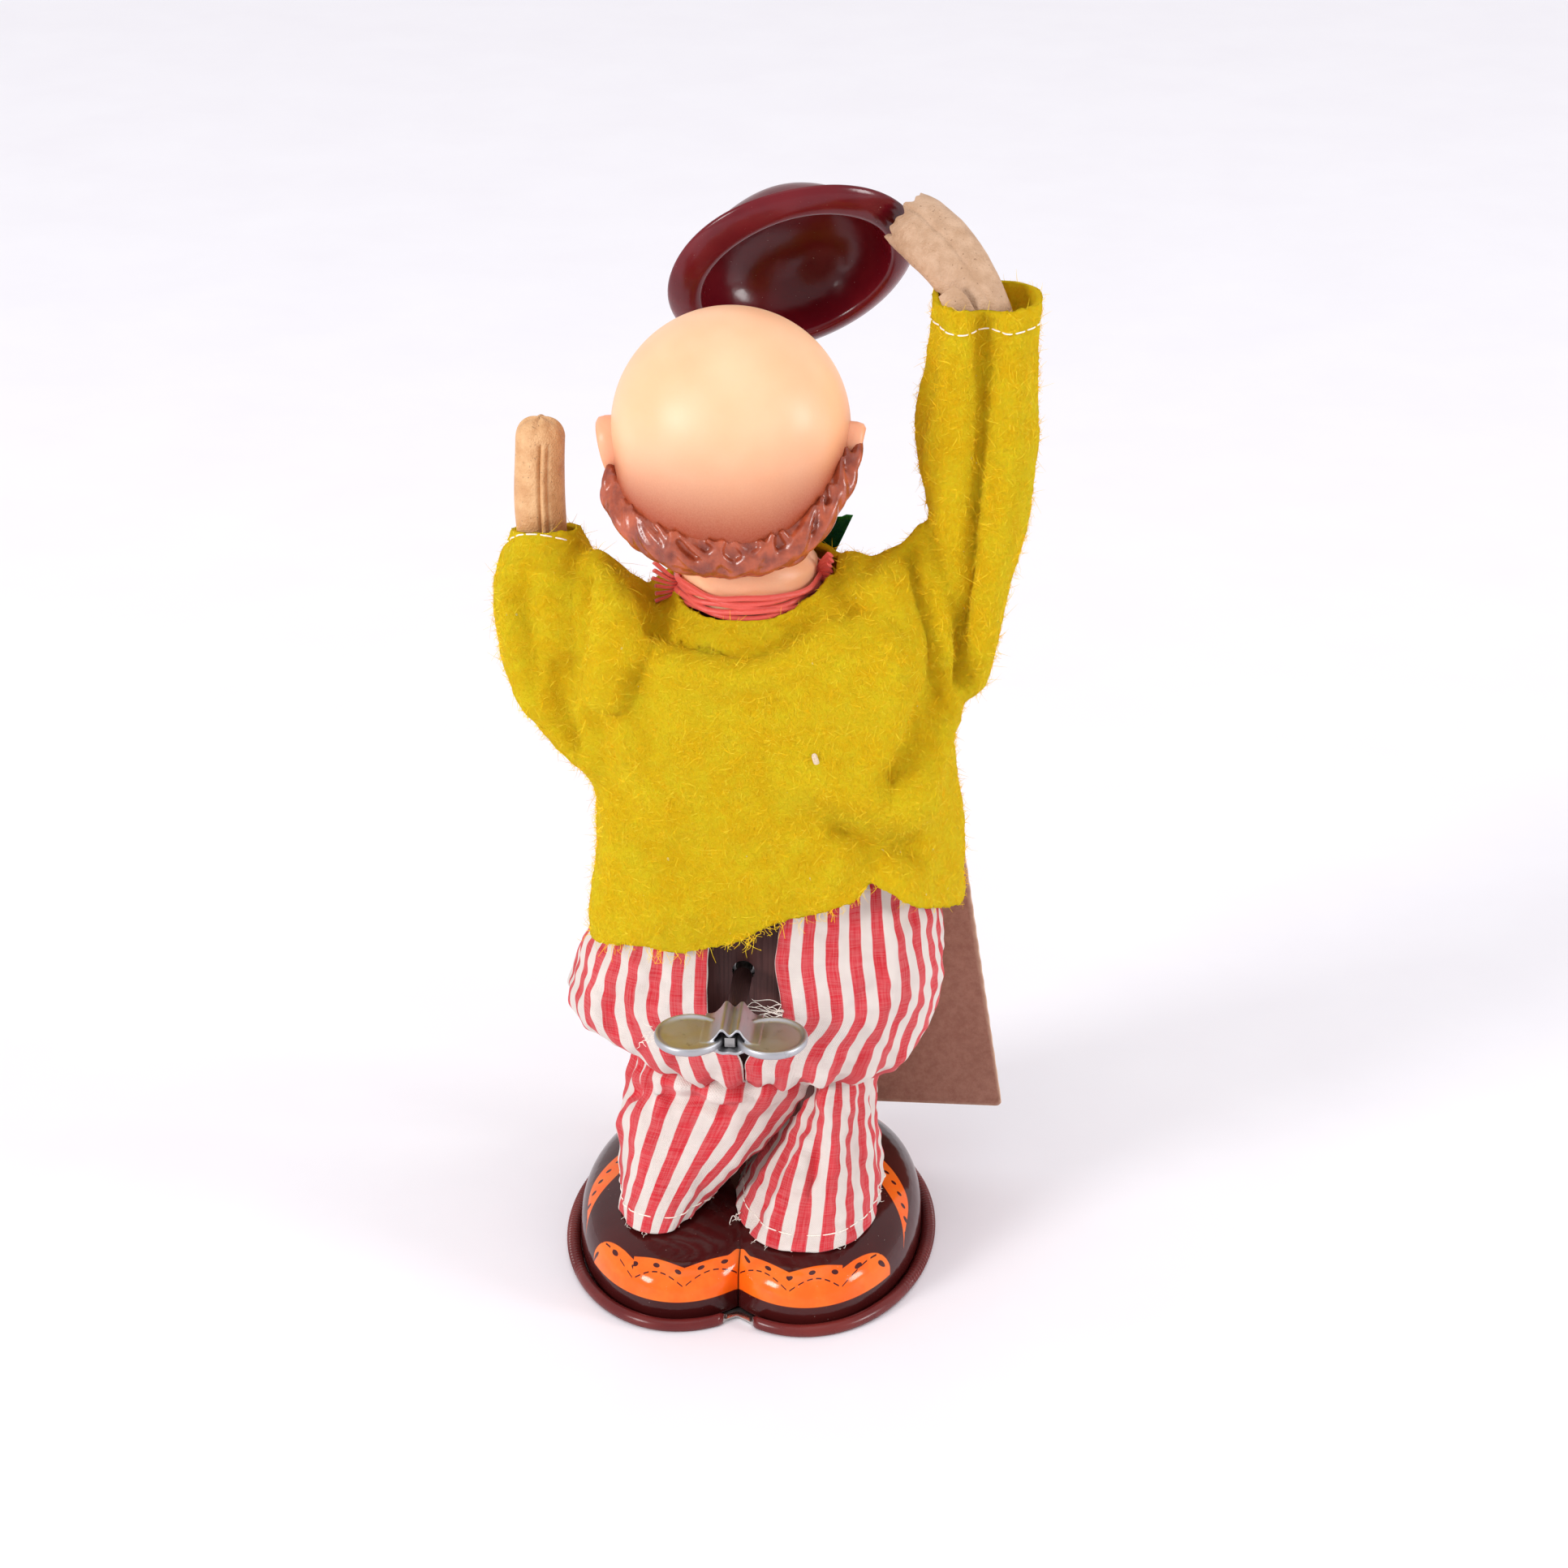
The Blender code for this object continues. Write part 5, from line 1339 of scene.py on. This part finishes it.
def make_lint(looks, surface):
    """A pale chip stuck in the back, and wool tufts along the lower edge."""
    tree = BVHTree.FromPolygons(surface[0].tolist(), surface[2])
    spot, out, _, _ = tree.ray_cast(Vector((16.1, -60, 130.4)), Vector((0, 1, 0)))
    out = np.array(out)
    path = np.array(spot) + out * 0.25 + np.outer(np.linspace(-1.7, 1.7, 9), (-0.28, 0.0, 0.95))
    points, faces = tube(path, 0.62 * np.array([0.5, 0.9, 1, 1, 1, 1, 1, 0.9, 0.5]), 16, 0.3, normal=out)
    put("chip", points, faces, looks["lint"], "toy_body", "felt", sharp=60)
    rng = np.random.default_rng(SEED + 5)
    turn = rng.uniform(0, 1, 90)
    x = -34 + 78 * turn
    roots = []
    for value in x:
        hit, _, _, _ = tree.ray_cast(Vector((value, -60, float(jacket_hem(value, -30)) + 0.9)), Vector((0,
                                1, 0)))
        roots.append(np.array(hit) if hit else np.array((value, -27.0, 90.0)))
    ways = np.column_stack([rng.normal(size=90) * 1.2, -rng.uniform(0.2, 1.4, 90), -rng.uniform(0.8, 3.4,
                            90)])
    loose_threads("hem_fuzz", roots, ways, 0.16, looks, "nap", "toy_body", SEED + 6, 0.06, "felt")
    near = np.abs(x - 4) < 5
    tuft = np.repeat(np.array(roots)[near], 2, axis=0) + rng.normal(size=(near.sum() * 2, 3)) * (1.0, 0.3,
                            0.4)
    ways = np.column_stack([rng.normal(size=len(tuft)) * 1.5, -rng.uniform(0.2, 1.4, len(tuft)),
                            -rng.uniform(0.8, 3.0, len(tuft))])
    loose_threads("hem_tuft", tuft, ways, 0.25, looks, "nap", "toy_body", SEED + 7, 0.06, "felt")


# ---------------------------------------------------------------- trousers

def make_trousers(looks):
    make_seat(looks)
    make_leg(looks, "trouser_leg_left", "trousers_left_leg", -1)
    make_leg(looks, "trouser_leg_right", "trousers_right_leg", 1)


def cloth(name, rings, looks, u, v, wrap):
    """A cloth piece from a grid of points, with its own flat coordinates in mm."""
    rows, cols = rings.shape[:2]
    faces = grid_faces(rows, cols, wrap)
    uv = []
    for r in range(rows - 1):
        for c in range(cols if wrap else cols - 1):
            for dr, dc in ((0, 0), (0, 1), (1, 1), (1, 0)):
                uv.append((u[r + dr, c + dc] / 100, v[r + dr, min(c + dc, cols - 1)] / 100))
    piece = put(name, rings.reshape(-1, 3), faces, looks["cotton"], uv=uv, sharp=0)
    piece.data.shade_smooth()
    return piece


def finish_cloth(piece, node, thickness=0.5):
    keep_rest(piece)
    use_modifier(piece, "SOLIDIFY", thickness=thickness * MM, offset=-1.0, use_rim=True)
    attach(piece, "toy_body")
    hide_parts(node)


def make_seat(looks):
    """The seat: a strip from one edge of the back opening, round the front, to the other edge."""
    sections = np.array([  # z, x0, x1, y0, y1, opening's left edge, opening's right edge
        (47.5, -20, 22, -14, 13, 0.6, 0.8), (48.3, -27, 29, -19, 17, 0.5, 0.8), (50, -32, 34, -23, 20,
                                0.4, 0.9),
        (53, -36.5, 37.6, -25.6, 22, 0.6, 0.9), (58, -40.2, 39.9, -26.7, 23, 0.5, 0.9),
        (62.5, -40.6, 41.2, -27, 23.4, -2.4, 3.8), (68, -38.8, 42.4, -27, 23.4, -6.8, 9.4),
        (75, -36.2, 43.0, -27, 23.4, -7.2, 8.6), (82, -34.0, 42.4, -26.4, 23, -7.0, 7.4),
        (90, -32.0, 40.8, -25.8, 22.4, -6.4, 8.4), (98, -31.0, 39.6, -25.4, 21.8, -6.4, 9.4),
        (106, -30.5, 38.0, -24.6, 21.0, -6.4, 9.4)])
    rows, cols = 130, 420
    wanted = np.linspace(0, 1, rows)
    steps = np.concatenate([[0], np.cumsum(np.hypot(np.diff(sections[:, 0]), np.diff(sections[:, 4]) * 0.5)
                                           + np.abs(np.diff(sections[:, 1])) * 0.3)])
    s = np.column_stack([np.interp(wanted, steps / steps[-1], sections[:, k]) for k in range(7)])
    kernel = np.ones(9) / 9
    for k in range(7):
        padded = np.concatenate([np.full(4, s[0, k]), s[:, k], np.full(4, s[-1, k])])
        s[:, k] = np.convolve(padded, kernel, "valid")
    rings = np.zeros((rows, cols, 3))
    power = 2.5
    for r, (z, x0, x1, y0, y1, left, right) in enumerate(s):
        cx, cy, a, b = (x0 + x1) / 2, (y0 + y1) / 2, (x1 - x0) / 2, (y1 - y0) / 2
        first, final = ((edge - cx) / a for edge in (right, left))
        first = math.asin(math.copysign(abs(first) ** (power / 2), first))
        final = 2 * math.pi + math.asin(math.copysign(abs(final) ** (power / 2), final))
        turn = np.linspace(first, final, cols)
        sx, cz = np.sin(turn), np.cos(turn)
        rings[r, :, 0] = cx + a * np.sign(sx) * np.abs(sx) ** (2 / power)
        rings[r, :, 1] = cy - b * np.sign(cz) * np.abs(cz) ** (2 / power)
        rings[r, :, 2] = z
    reach = np.linalg.norm(np.diff(rings[rows // 2], axis=0), axis=1)
    u = np.concatenate([[0], np.cumsum(reach)])
    u = np.tile(u + 1.2, (rows, 1))
    climb = np.concatenate([[0], np.cumsum(np.linalg.norm(np.diff(rings[:, cols // 4], axis=0), axis=1))])
    v = np.tile(climb[:, None], (1, cols))
    hang = np.clip((72 - rings[:, :, 2]) / 24, 0, 1) ** 1.5
    rings[:, :, 2] += hang * 0.36 * np.clip(-12 - rings[:, :, 0], 0, 30)
    seat = cloth("trouser_seat", rings, looks, u, v, False)
    sculpt(seat, [
        ([(24, -25, 92), (22, -27, 82), (23, -27, 72)], 3.0, -0.9),
        ([(33, -20, 90), (33, -24, 78), (31, -26, 64)], 3.5, 0.9),
        ([(14, -27, 88), (13, -28, 76), (15, -28, 62), (18, -26, 54)], 4.0, 0.8),
        ([(38, -14, 70), (37, -18, 60), (34, -20, 54)], 3.0, -0.8),
        ([(-20.5, -26, 84), (-20.2, -27, 74), (-19.6, -27, 65)], 0.9, -0.8),
        ([(-30, -22, 78), (-26, -25, 68), (-20, -26.5, 58)], 2.6, -1.2),
        ([(-34, -18, 72), (-31, -22, 63), (-26, -24, 56)], 2.6, 1.2),
        ([(-38, -10, 62), (-34, -16, 58), (-28, -21, 54)], 2.0, 1.0),
        ([(-24, -26, 60), (-17, -27, 54), (-11, -25, 49)], 2.2, 1.3),
        ([(-18, -27, 62), (-11, -28, 56), (-5, -26, 52)], 1.8, -1.3),
        ([(0, -27, 59), (0, -28, 55), (1, -24, 50)], 2.4, -0.9),
        ([(5, -27, 62), (8, -27, 56), (14, -24, 51)], 1.6, -1.1),
    ])
    p, n = points_of(seat), normals_of(seat)
    angle = np.arctan2(p[:, 0] - 2, -p[:, 1])
    gathered = np.clip((58 - p[:, 2]) / 10, 0, 1)
    move = 0.5 * ripple(p * (1, 1, 0.35), 9.0, 11) + 0.25 * ripple(p, 5.0,
                            12) + gathered * 0.8 * np.sin(angle * 23)
    move_points(seat, p + n * move[:, None])
    finish_cloth(seat, "trousers_seat")
    rng = np.random.default_rng(SEED + 9)
    roots = np.column_stack([rng.uniform(8.8, 9.6, 22), rng.uniform(-28.2, -27.4, 22), rng.uniform(66.0,
                            73.5, 22)])
    ways = np.column_stack([-rng.uniform(2.5, 8.5, 22), -rng.uniform(0.3, 2.5, 22), rng.uniform(-2.5, 2.5,
                            22)])
    loose_threads("opening_threads", roots, ways, 0.07, looks, "thread", "toy_body", SEED + 10, 0.11)
    roots = np.column_stack([rng.uniform(-21, -18, 12), rng.uniform(-28.4, -27.8, 12), rng.uniform(63, 67,
                            12)])
    ways = np.column_stack([rng.uniform(-2.5, 2.0, 12), -rng.uniform(0.4, 1.4, 12), rng.uniform(-1.0, 3.5,
                            12)])
    loose_threads("tuck_threads", roots, ways, 0.2, looks, "thread", "toy_body", SEED + 11, 0.1)


def make_leg(looks, name, node, side):
    """A trouser leg: pinched under the seat, wide over the shoe, with its lower edge on the shoe's curve."""
    if side < 0:
        sections = [(13, -28.8, -8.0, -29.6, 14), (18, -29.0, -4.8, -27.0, 13.5), (25, -28.9, 1.0, -23.8, 12),
                    (31, -28.7, 6.8, -21.4, 11), (37, -28.1, 11.8, -20.2, 11.5), (43, -26.8, 15.6, -20.2,
                                            13.5),
                    (48, -25.0, 17.0, -20.4, 15), (54, -24, 17, -18, 15)]
    else:
        sections = [(12, -2.4, 29.8, -33.6, 14), (18, 0.2, 29.8, -29.6, 13.5), (25, 3.6, 29.3, -25.0, 12),
                    (31, 7.2, 28.8, -21.6, 11), (37, 10.2, 28.4, -19.6, 11.5), (43, 12.6, 28.4, -19.0, 13.5),
                    (48, 14.0, 28.2, -19, 15), (54, 15, 27, -17, 15)]
    rows, cols = 110, 240
    s = smooth_line(sections, rows)
    turn = np.linspace(0, 2 * math.pi, cols, endpoint=False)
    power = 2.2
    rings = np.zeros((rows, cols, 3))
    for r, (z, x0, x1, y0, y1) in enumerate(s):
        sx, cz = np.sin(turn), np.cos(turn)
        rings[r, :, 0] = (x0 + x1) / 2 + (x1 - x0) / 2 * np.sign(sx) * np.abs(sx) ** (2 / power)
        rings[r, :, 1] = (y0 + y1) / 2 - (y1 - y0) / 2 * np.sign(cz) * np.abs(cz) ** (2 / power)
        rings[r, :, 2] = z
    base = shoe_height(rings[0, :, 0], rings[0, :, 1]) + 0.9
    dip = np.where(rings[0, :, 1] < 0, 0.0, 0.6)
    fall = np.clip((30 - rings[:, :, 2]) / (30 - rings[0, 0, 2]), 0, 1) ** 1.4
    rings[:, :, 2] += (base + dip - rings[0, 0, 2])[None, :] * fall
    length = np.linalg.norm(np.roll(rings[30], -1, axis=0) - rings[30], axis=1)
    u = np.concatenate([[0], np.cumsum(length)])
    total = round(u[-1] / STRIPE) * STRIPE
    u = np.tile(u / u[-1] * total + (1.0 if side < 0 else 2.6), (rows, 1))
    climb = np.concatenate([[0], np.cumsum(np.linalg.norm(np.diff(rings[:, 0], axis=0), axis=1))])
    v = np.tile(climb[:, None], (1, cols + 1))
    if side > 0:
        twist = np.clip((rings[:, 0, 2] - 10) / 40, 0, 1) ** 1.2 * 6.0
        u = u + twist[:, None]
    leg = cloth(name, rings, looks, u, v, True)
    if side < 0:
        strokes = [([(-26, -12, 46), (-20, -17, 48.5), (-11, -20, 48), (0, -20, 46)], 1.7, 1.6),
                   ([(-27, -10, 40), (-23, -16, 43.5), (-14, -20, 44), (-4, -20, 42)], 1.8, -2.0),
                   ([(-28, -9, 31), (-27, -14, 37), (-22, -18, 41)], 2.0, 1.3),
                   ([(6, -18, 40), (-1, -20, 32), (-7, -23, 24), (-13, -27, 16)], 3.0, -1.3),
                   ([(2, -18, 34), (-4, -20, 27), (-9, -25, 18)], 2.2, 1.2),
                   ([(-24, -18, 34), (-24, -22, 24), (-23, -26, 15)], 3.0, 0.9)]
    else:
        strokes = [([(15.6, -18, 47), (15.8, -20, 40), (16.0, -22, 32), (14.5, -26, 22), (12.6, -32, 13)],
                    1.1, -1.8),
                   ([(18.6, -18, 46), (18.8, -20, 38), (19.0, -23, 28), (18.5, -28, 16)], 1.8, 1.6),
                   ([(12, -17, 40), (8, -20, 30), (3.5, -23, 20), (1, -24, 15)], 1.8, -1.4),
                   ([(13.5, -18, 34), (10, -22, 26), (7, -26, 17)], 2.0, 1.4),
                   ([(24, -15, 42), (24.5, -19, 30), (24, -24, 18)], 2.2, -1.2)]
    sculpt(leg, strokes)
    p, n = points_of(leg), normals_of(leg)
    angle = np.arctan2(p[:, 0] - side * 15, -p[:, 1] - 4)
    high = np.clip((p[:, 2] - 34) / 12, 0, 1)
    move = 0.4 * ripple(p * (1, 1, 0.4), 8.0, 21 + side) + 0.2 * ripple(p, 4.0,
                            22) + high * 0.7 * np.sin(angle * 15)
    move_points(leg, p + n * move[:, None])
    rows_up = int(round(4.2 / (climb[-1] / (rows - 1))))
    hem = slice(rows_up * cols, rows_up * cols + cols)
    spots, outs = points_of(leg)[hem], normals_of(leg)[hem]
    thread = put(name + "_stitches", *stitched(spots, outs, 3.6, 3.0, 0.14), looks["thread"], "toy_body",
                 "cotton", sharp=0)
    thread.data.shade_smooth()
    edge = points_of(leg)[:cols]
    rng = np.random.default_rng(SEED + 12 + side)
    picked = edge[rng.integers(0, cols, 26)]
    ways = np.column_stack([rng.normal(size=26) * 0.5, rng.normal(size=26) * 0.5, -rng.uniform(0.2, 0.9, 26)])
    loose_threads(name + "_fray", picked, ways, 0.25, looks, "thread", "toy_body", SEED + 15, 0.07)
    if side > 0:
        corner = edge[np.argmin(edge[:, 0] + 0.4 * edge[:, 1])]
        roots = np.repeat(corner[None], 7, axis=0) + rng.normal(size=(7, 3)) * (0.4, 0.4, 0.5)
        ways = np.column_stack([-rng.uniform(0.5, 2.2, 7), -rng.uniform(0.0, 1.6, 7), rng.uniform(-1.4,
                                0.4, 7)])
        loose_threads("corner_fray", roots, ways, 0.25, looks, "thread", "toy_body", SEED + 16, 0.12)
    finish_cloth(leg, node)


# ---------------------------------------------------------------- neckwear and card

def make_neckwear(looks):
    """A ribbon of loose strands round the neck, its two ends flared out, and a felt bow tie in front."""
    rng = np.random.default_rng(SEED + 1)
    parts = []
    strands = 5
    for k in range(strands):
        turn = np.linspace(math.radians(35), math.radians(-215), 90)
        z = 158.6 + k + 0.35 * np.sin(turn * 5 + k * 2.1)
        z = z + 0.9 * np.cos(turn - math.radians(-90)) * -0.8
        r = NECK_R + 0.9 + 0.25 * np.sin(turn * 9 + k * 1.7) + 0.35 * math.sin(k * 2.0)
        path = np.column_stack([r * np.cos(turn), r * np.sin(turn), z + rng.uniform(-0.1, 0.1)])
        parts.append(tube(path, 0.62, 10, 0.55))
    for side, x, y, z, tall in ((1, 17.6, -3.5, 164.8, 3.0), (-1, -19.6, -6.0, 161.4, 4.4)):
        for k in range(6):
            fan = (k - 2.5) / 2.5
            path = smooth_line([(side * 14.2, y + 3.5, 160.6 + fan * 1.3), (side * 15.9, y + 1.2,
                                    z - 1.2 + fan * 2.0),
                                (x + side * rng.uniform(-0.4, 0.5), y, z + fan * tall)], 14)
            parts.append(tube(path, np.linspace(0.62, 0.85, 14), 8, 0.5))
    points, faces = joined(parts)
    ribbon = put("neck_ribbon_strands", points, faces, looks["satin"], "toy_body", "satin", sharp=60,
                 uv=[(0, 0)] * sum(len(f) for f in faces))
    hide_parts("neck_ribbon")

    rings = []
    for t in np.linspace(-1, 1, 61):
        x = 1.0 + 16.8 * t
        wing = abs(t) ** 0.8
        half = 2.0 + 4.3 * wing + (0.5 * math.sin(t * 9) if abs(t) > 0.9 else 0)
        lean = -1.7 * t
        puff = 1.25 * math.sin(min(1.0, abs(t) * 1.15) * math.pi) + 0.55
        ring = []
        for a in np.linspace(0, 2 * math.pi, 36, endpoint=False):
            wave = 0.45 * math.sin(a * 3 + t * 6) * wing
            slant = 0.9 * max(0.0, abs(t) - 0.5) * math.cos(a) * half
            ring.append((x + math.copysign(1, t) * slant, 21.0 + (puff + wave * 0.5) * math.sin(a),
                         162.5 + lean + half * math.cos(a)))
        rings.append(ring)
    points, faces = lofted(np.array(rings))
    bow = put("bow_tie_felt", points, faces, looks["green"], "toy_body", "green_felt", sharp=50)
    keep_rest(bow)
    knot = []
    for t in np.linspace(-1, 1, 15):
        size = math.sqrt(max(0.04, 1 - t * t * 0.9))
        knot.append([(1.0 + 2.6 * size * math.cos(a), 21.2 + 2.2 * size * math.sin(a), 162.5 + 3.0 * t)
                     for a in np.linspace(0, 2 * math.pi, 28, endpoint=False)])
    points, faces = lofted(np.array(knot))
    knot = put("bow_tie_knot", points, faces, looks["green"], "toy_body", "green_felt", sharp=60)
    keep_rest(knot)
    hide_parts("bow_tie")


def make_card(looks):
    """The chipboard sign: a tapered sheet with rounded corners, frayed a little along its cut edges."""
    low, high = (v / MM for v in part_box("sign_card"))
    centre, top_half = (low.x + high.x) / 2, 26.0
    corners = [(low.x, low.z), (high.x, low.z), (centre + top_half, high.z), (centre - top_half, high.z)]
    outline = []
    for i, corner in enumerate(corners):
        before, after = np.array(corners[i - 1]), np.array(corners[(i + 1) % 4])
        corner = np.array(corner)
        a = corner + (before - corner) / np.linalg.norm(before - corner) * 1.6
        b = corner + (after - corner) / np.linalg.norm(after - corner) * 1.6
        for t in np.linspace(0, 1, 8):
            outline.append((1 - t) ** 2 * a + 2 * t * (1 - t) * corner + t * t * b)
        nxt = after + (corner - after) / np.linalg.norm(corner - after) * 1.6
        for t in np.linspace(0, 1, 60)[1:-1]:
            outline.append(b + (nxt - b) * t)
    outline = np.array(outline)
    middle = outline.mean(axis=0)
    rings, worn = [], []
    for y, inset, edge in ((low.y, 8.0, 0.0), (low.y, 1.2, 0.0), (low.y, 0.35, 0.45), (low.y + 0.12, 0.1,
                            1.0),
                           (low.y + 0.6, 0.0, 1.0), (high.y - 0.12, 0.1, 1.0), (high.y, 0.35, 0.45),
                           (high.y, 1.2, 0.0), (high.y, 8.0, 0.0)):
        toward = middle - outline
        ring = outline + toward / np.linalg.norm(toward, axis=1)[:, None] * inset
        rough = 0.06 * np.sin(np.arange(len(ring)) * 1.7) * (edge > 0.5)
        rings.append(np.column_stack([ring[:, 0] + rough, 0 * ring[:, 0] + y, ring[:, 1]]))
        worn += [edge * (0.6 + 0.4 * math.sin(i * 0.9) ** 2) for i in range(len(ring))]
    points, faces = lofted(np.array(rings))
    card = put("sign_board", points, faces, looks["card"], "sign", "card", sharp=40)
    mark(card, "edge", worn)
    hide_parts("sign_card")


# ---------------------------------------------------------------- hands

def make_hands(looks):
    path = smooth_line([(-44.9, 6.2, 166.4), (-45.1, 6.0, 174), (-45.0, 6.0, 182), (-44.7, 6.2, 188.2)], 40)
    turns = np.linspace(0, 2 * math.pi, 96, endpoint=False)
    rings = []
    seam = -math.pi / 2 + 0.12
    for i, (x, y, z) in enumerate(path):
        share = i / 39
        rx, ry = 5.35 + 0.1 * math.sin(share * 5), 4.9 + 0.25 * math.sin(share * 3)
        away = np.angle(np.exp(1j * (turns - seam)))
        groove = 0.75 * np.exp(-(away / 0.05) ** 2) - 0.35 * np.exp(-((away - 0.16) / 0.08) ** 2) \
            + 0.28 * np.exp(-((away - 0.34) / 0.05) ** 2)
        r = 1 - groove / 5.3 + 0.006 * np.sin(turns * 7 + share * 9)
        rings.append(np.column_stack([x + rx * r * np.cos(turns), y + ry * r * np.sin(turns), 0 * turns + z]))
    for k in range(1, 14):
        lean = math.pi / 2 * k / 13.2
        pucker = 1 + 0.05 * np.sin(turns * 9) * math.sin(lean)
        x, y, z = path[-1]
        r = math.cos(lean) ** 0.8 * pucker
        level = 0 * turns + z + 4.8 * math.sin(lean) + 0.25 * np.sin(turns * 5) * math.sin(lean)
        rings.append(np.column_stack([x + 5.3 * r * np.cos(turns), y + 4.9 * r * np.sin(turns), level]))
    inner = rings[:6][::-1]
    centre = np.array([path[0][0], path[0][1], 0])
    inner = [np.column_stack([(ring[:, 0] - centre[0]) * 0.86 + centre[0],
                              (ring[:, 1] - centre[1]) * 0.86 + centre[1], ring[:, 2]]) for ring in inner]
    points, faces = lofted(np.array(inner + rings))
    hand = put("left_hand_tube", points, faces, looks["tan_light"], "left_arm", "leatherette", sharp=60)
    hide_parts("left_hand")
    make_right_hand(looks)


def make_right_hand(looks):
    """A flattened tube bent over the brim, torn at its end, with a loose tongue at the cuff."""
    facing = np.array((0.07, -0.9, 0.42))
    line = [(50.4, 19.0, 206.5), (49.2, 20.0, 212), (46.6, 21.5, 216.8), (42.8, 25.0, 221.0),
            (39.2, 29.5, 224.0), (36.0, 33.5, 225.8), (33.2, 37.5, 227.0), (30.6, 41.5, 227.4)]
    path = smooth_line(line, 70)
    radii = np.interp(np.linspace(0, 1, 70), [0, 0.25, 0.45, 0.7, 0.9, 1.0], [4.6, 5.6, 6.7, 7.2, 7.0, 6.6])
    count = 96
    points, _ = tube(path, radii, count, 0.52, normal=facing)
    rings = points.reshape(70, count, 3)
    turns = np.linspace(0, 2 * math.pi, count, endpoint=False)
    along = path[-1] - path[-4]
    along /= np.linalg.norm(along)
    torn = 1.6 * np.sin(turns * 5 + 1) * np.sin(turns * 3) + 0.7 * np.sin(turns * 13) - 0.9
    share = np.clip((np.arange(70) - 58) / 11, 0, 1) ** 2
    rings = rings + share[:, None, None] * torn[None, :, None] * along
    seam = np.exp(-(np.angle(np.exp(1j * (turns + 1.35))) / 0.05) ** 2)
    middle = path[:, None, :]
    rings = middle + (rings - middle) * (1 - 0.12 * seam)[None, :, None]
    last, centre = rings[-1], rings[-1].mean(axis=0)
    inside = [last * 0.86 + centre * 0.14, last * 0.8 + centre * 0.2 - along * 5.0]
    points, faces = lofted(np.concatenate([rings, inside]))
    wrinkle = 0.22 * ripple(points, 7.0, 31) + 0.1 * ripple(points, 3.0, 32)
    points = points + facing * wrinkle[:, None]
    hand = put("right_hand_tube", points, faces, looks["tan"], "hat_arm", "leatherette", sharp=60)
    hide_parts("right_hand")
    tongue = smooth_line([(46.0, 17.4, 207), (44.6, 16.4, 212.0), (42.4, 16.2, 216.4), (40.0, 17.0,
                            219.4)], 24)
    wide = np.interp(np.linspace(0, 1, 24), [0, 0.8, 1.0], [3.0, 2.8, 2.0])
    points, faces = tube(tongue, wide, 40, 0.14, normal=facing)
    put("right_hand_tongue", points, faces, looks["tan"], "hat_arm", "leatherette", sharp=60)


# ---------------------------------------------------------------- everything

def main():
    make_stage()
    looks = {
        "shoe": shoe_look(),
        "rim": rim_look(),
        "steel": plain_metal("stamped_steel", rgb(168, 166, 164), 0.28),
        "brass": plain_metal("cut_brass", rgb(214, 178, 110), 0.25),
        "chrome": plain_metal("bright_chrome", rgb(182, 182, 186), 0.38),
        "case": case_look(),
        "stem": plain_metal("dark_stem", rgb(48, 26, 24), 0.45, 0.2),
        "skin": skin_look(),
        "hair": hair_look(),
        "eye": eye_look(),
        "hat": glossy_tin("hat_lacquer", rgb(92, 10, 22), rgb(120, 24, 32), 0.14),
        "felt": felt_look("yellow_felt", rgb(255, 218, 36), rgb(255, 186, 10)),
        "nap": nap_look(),
        "thread": thread_look("white_thread", rgb(238, 228, 214), rgb(252, 246, 236)),
        "lint": thread_look("pale_chip", rgb(196, 172, 142), rgb(226, 206, 180)),
        "green": felt_look("green_felt", rgb(20, 92, 62), rgb(8, 54, 38)),
        "cotton": cotton_look(),
        "satin": satin_look(),
        "card": card_look(),
        "tan_light": leatherette_look("tan_leatherette", rgb(224, 178, 128), rgb(200, 146, 96)),
        "tan": leatherette_look("tan_leatherette_worn", rgb(206, 170, 140), rgb(184, 146, 114)),
    }
    slots = {"steel": "steel", "brass": "brass", "chrome": "chrome", "body_tin": "case", "key_stem": "stem",
             "rim_tin": "rim", "shoe_tin": "shoe"}
    for row in frame["record"]["subparts"]:
        look = looks.get(slots.get(row["material_slot"]))
        node = frame["nodes"][row["node"]]
        if look:
            node.data.materials.clear()
            node.data.materials.append(look.mat)
    make_shoes(looks)
    make_head(looks)
    make_hat(looks)
    make_key(looks)
    make_jacket(looks)
    make_trousers(looks)
    make_neckwear(looks)
    make_card(looks)
    make_hands(looks)


main()
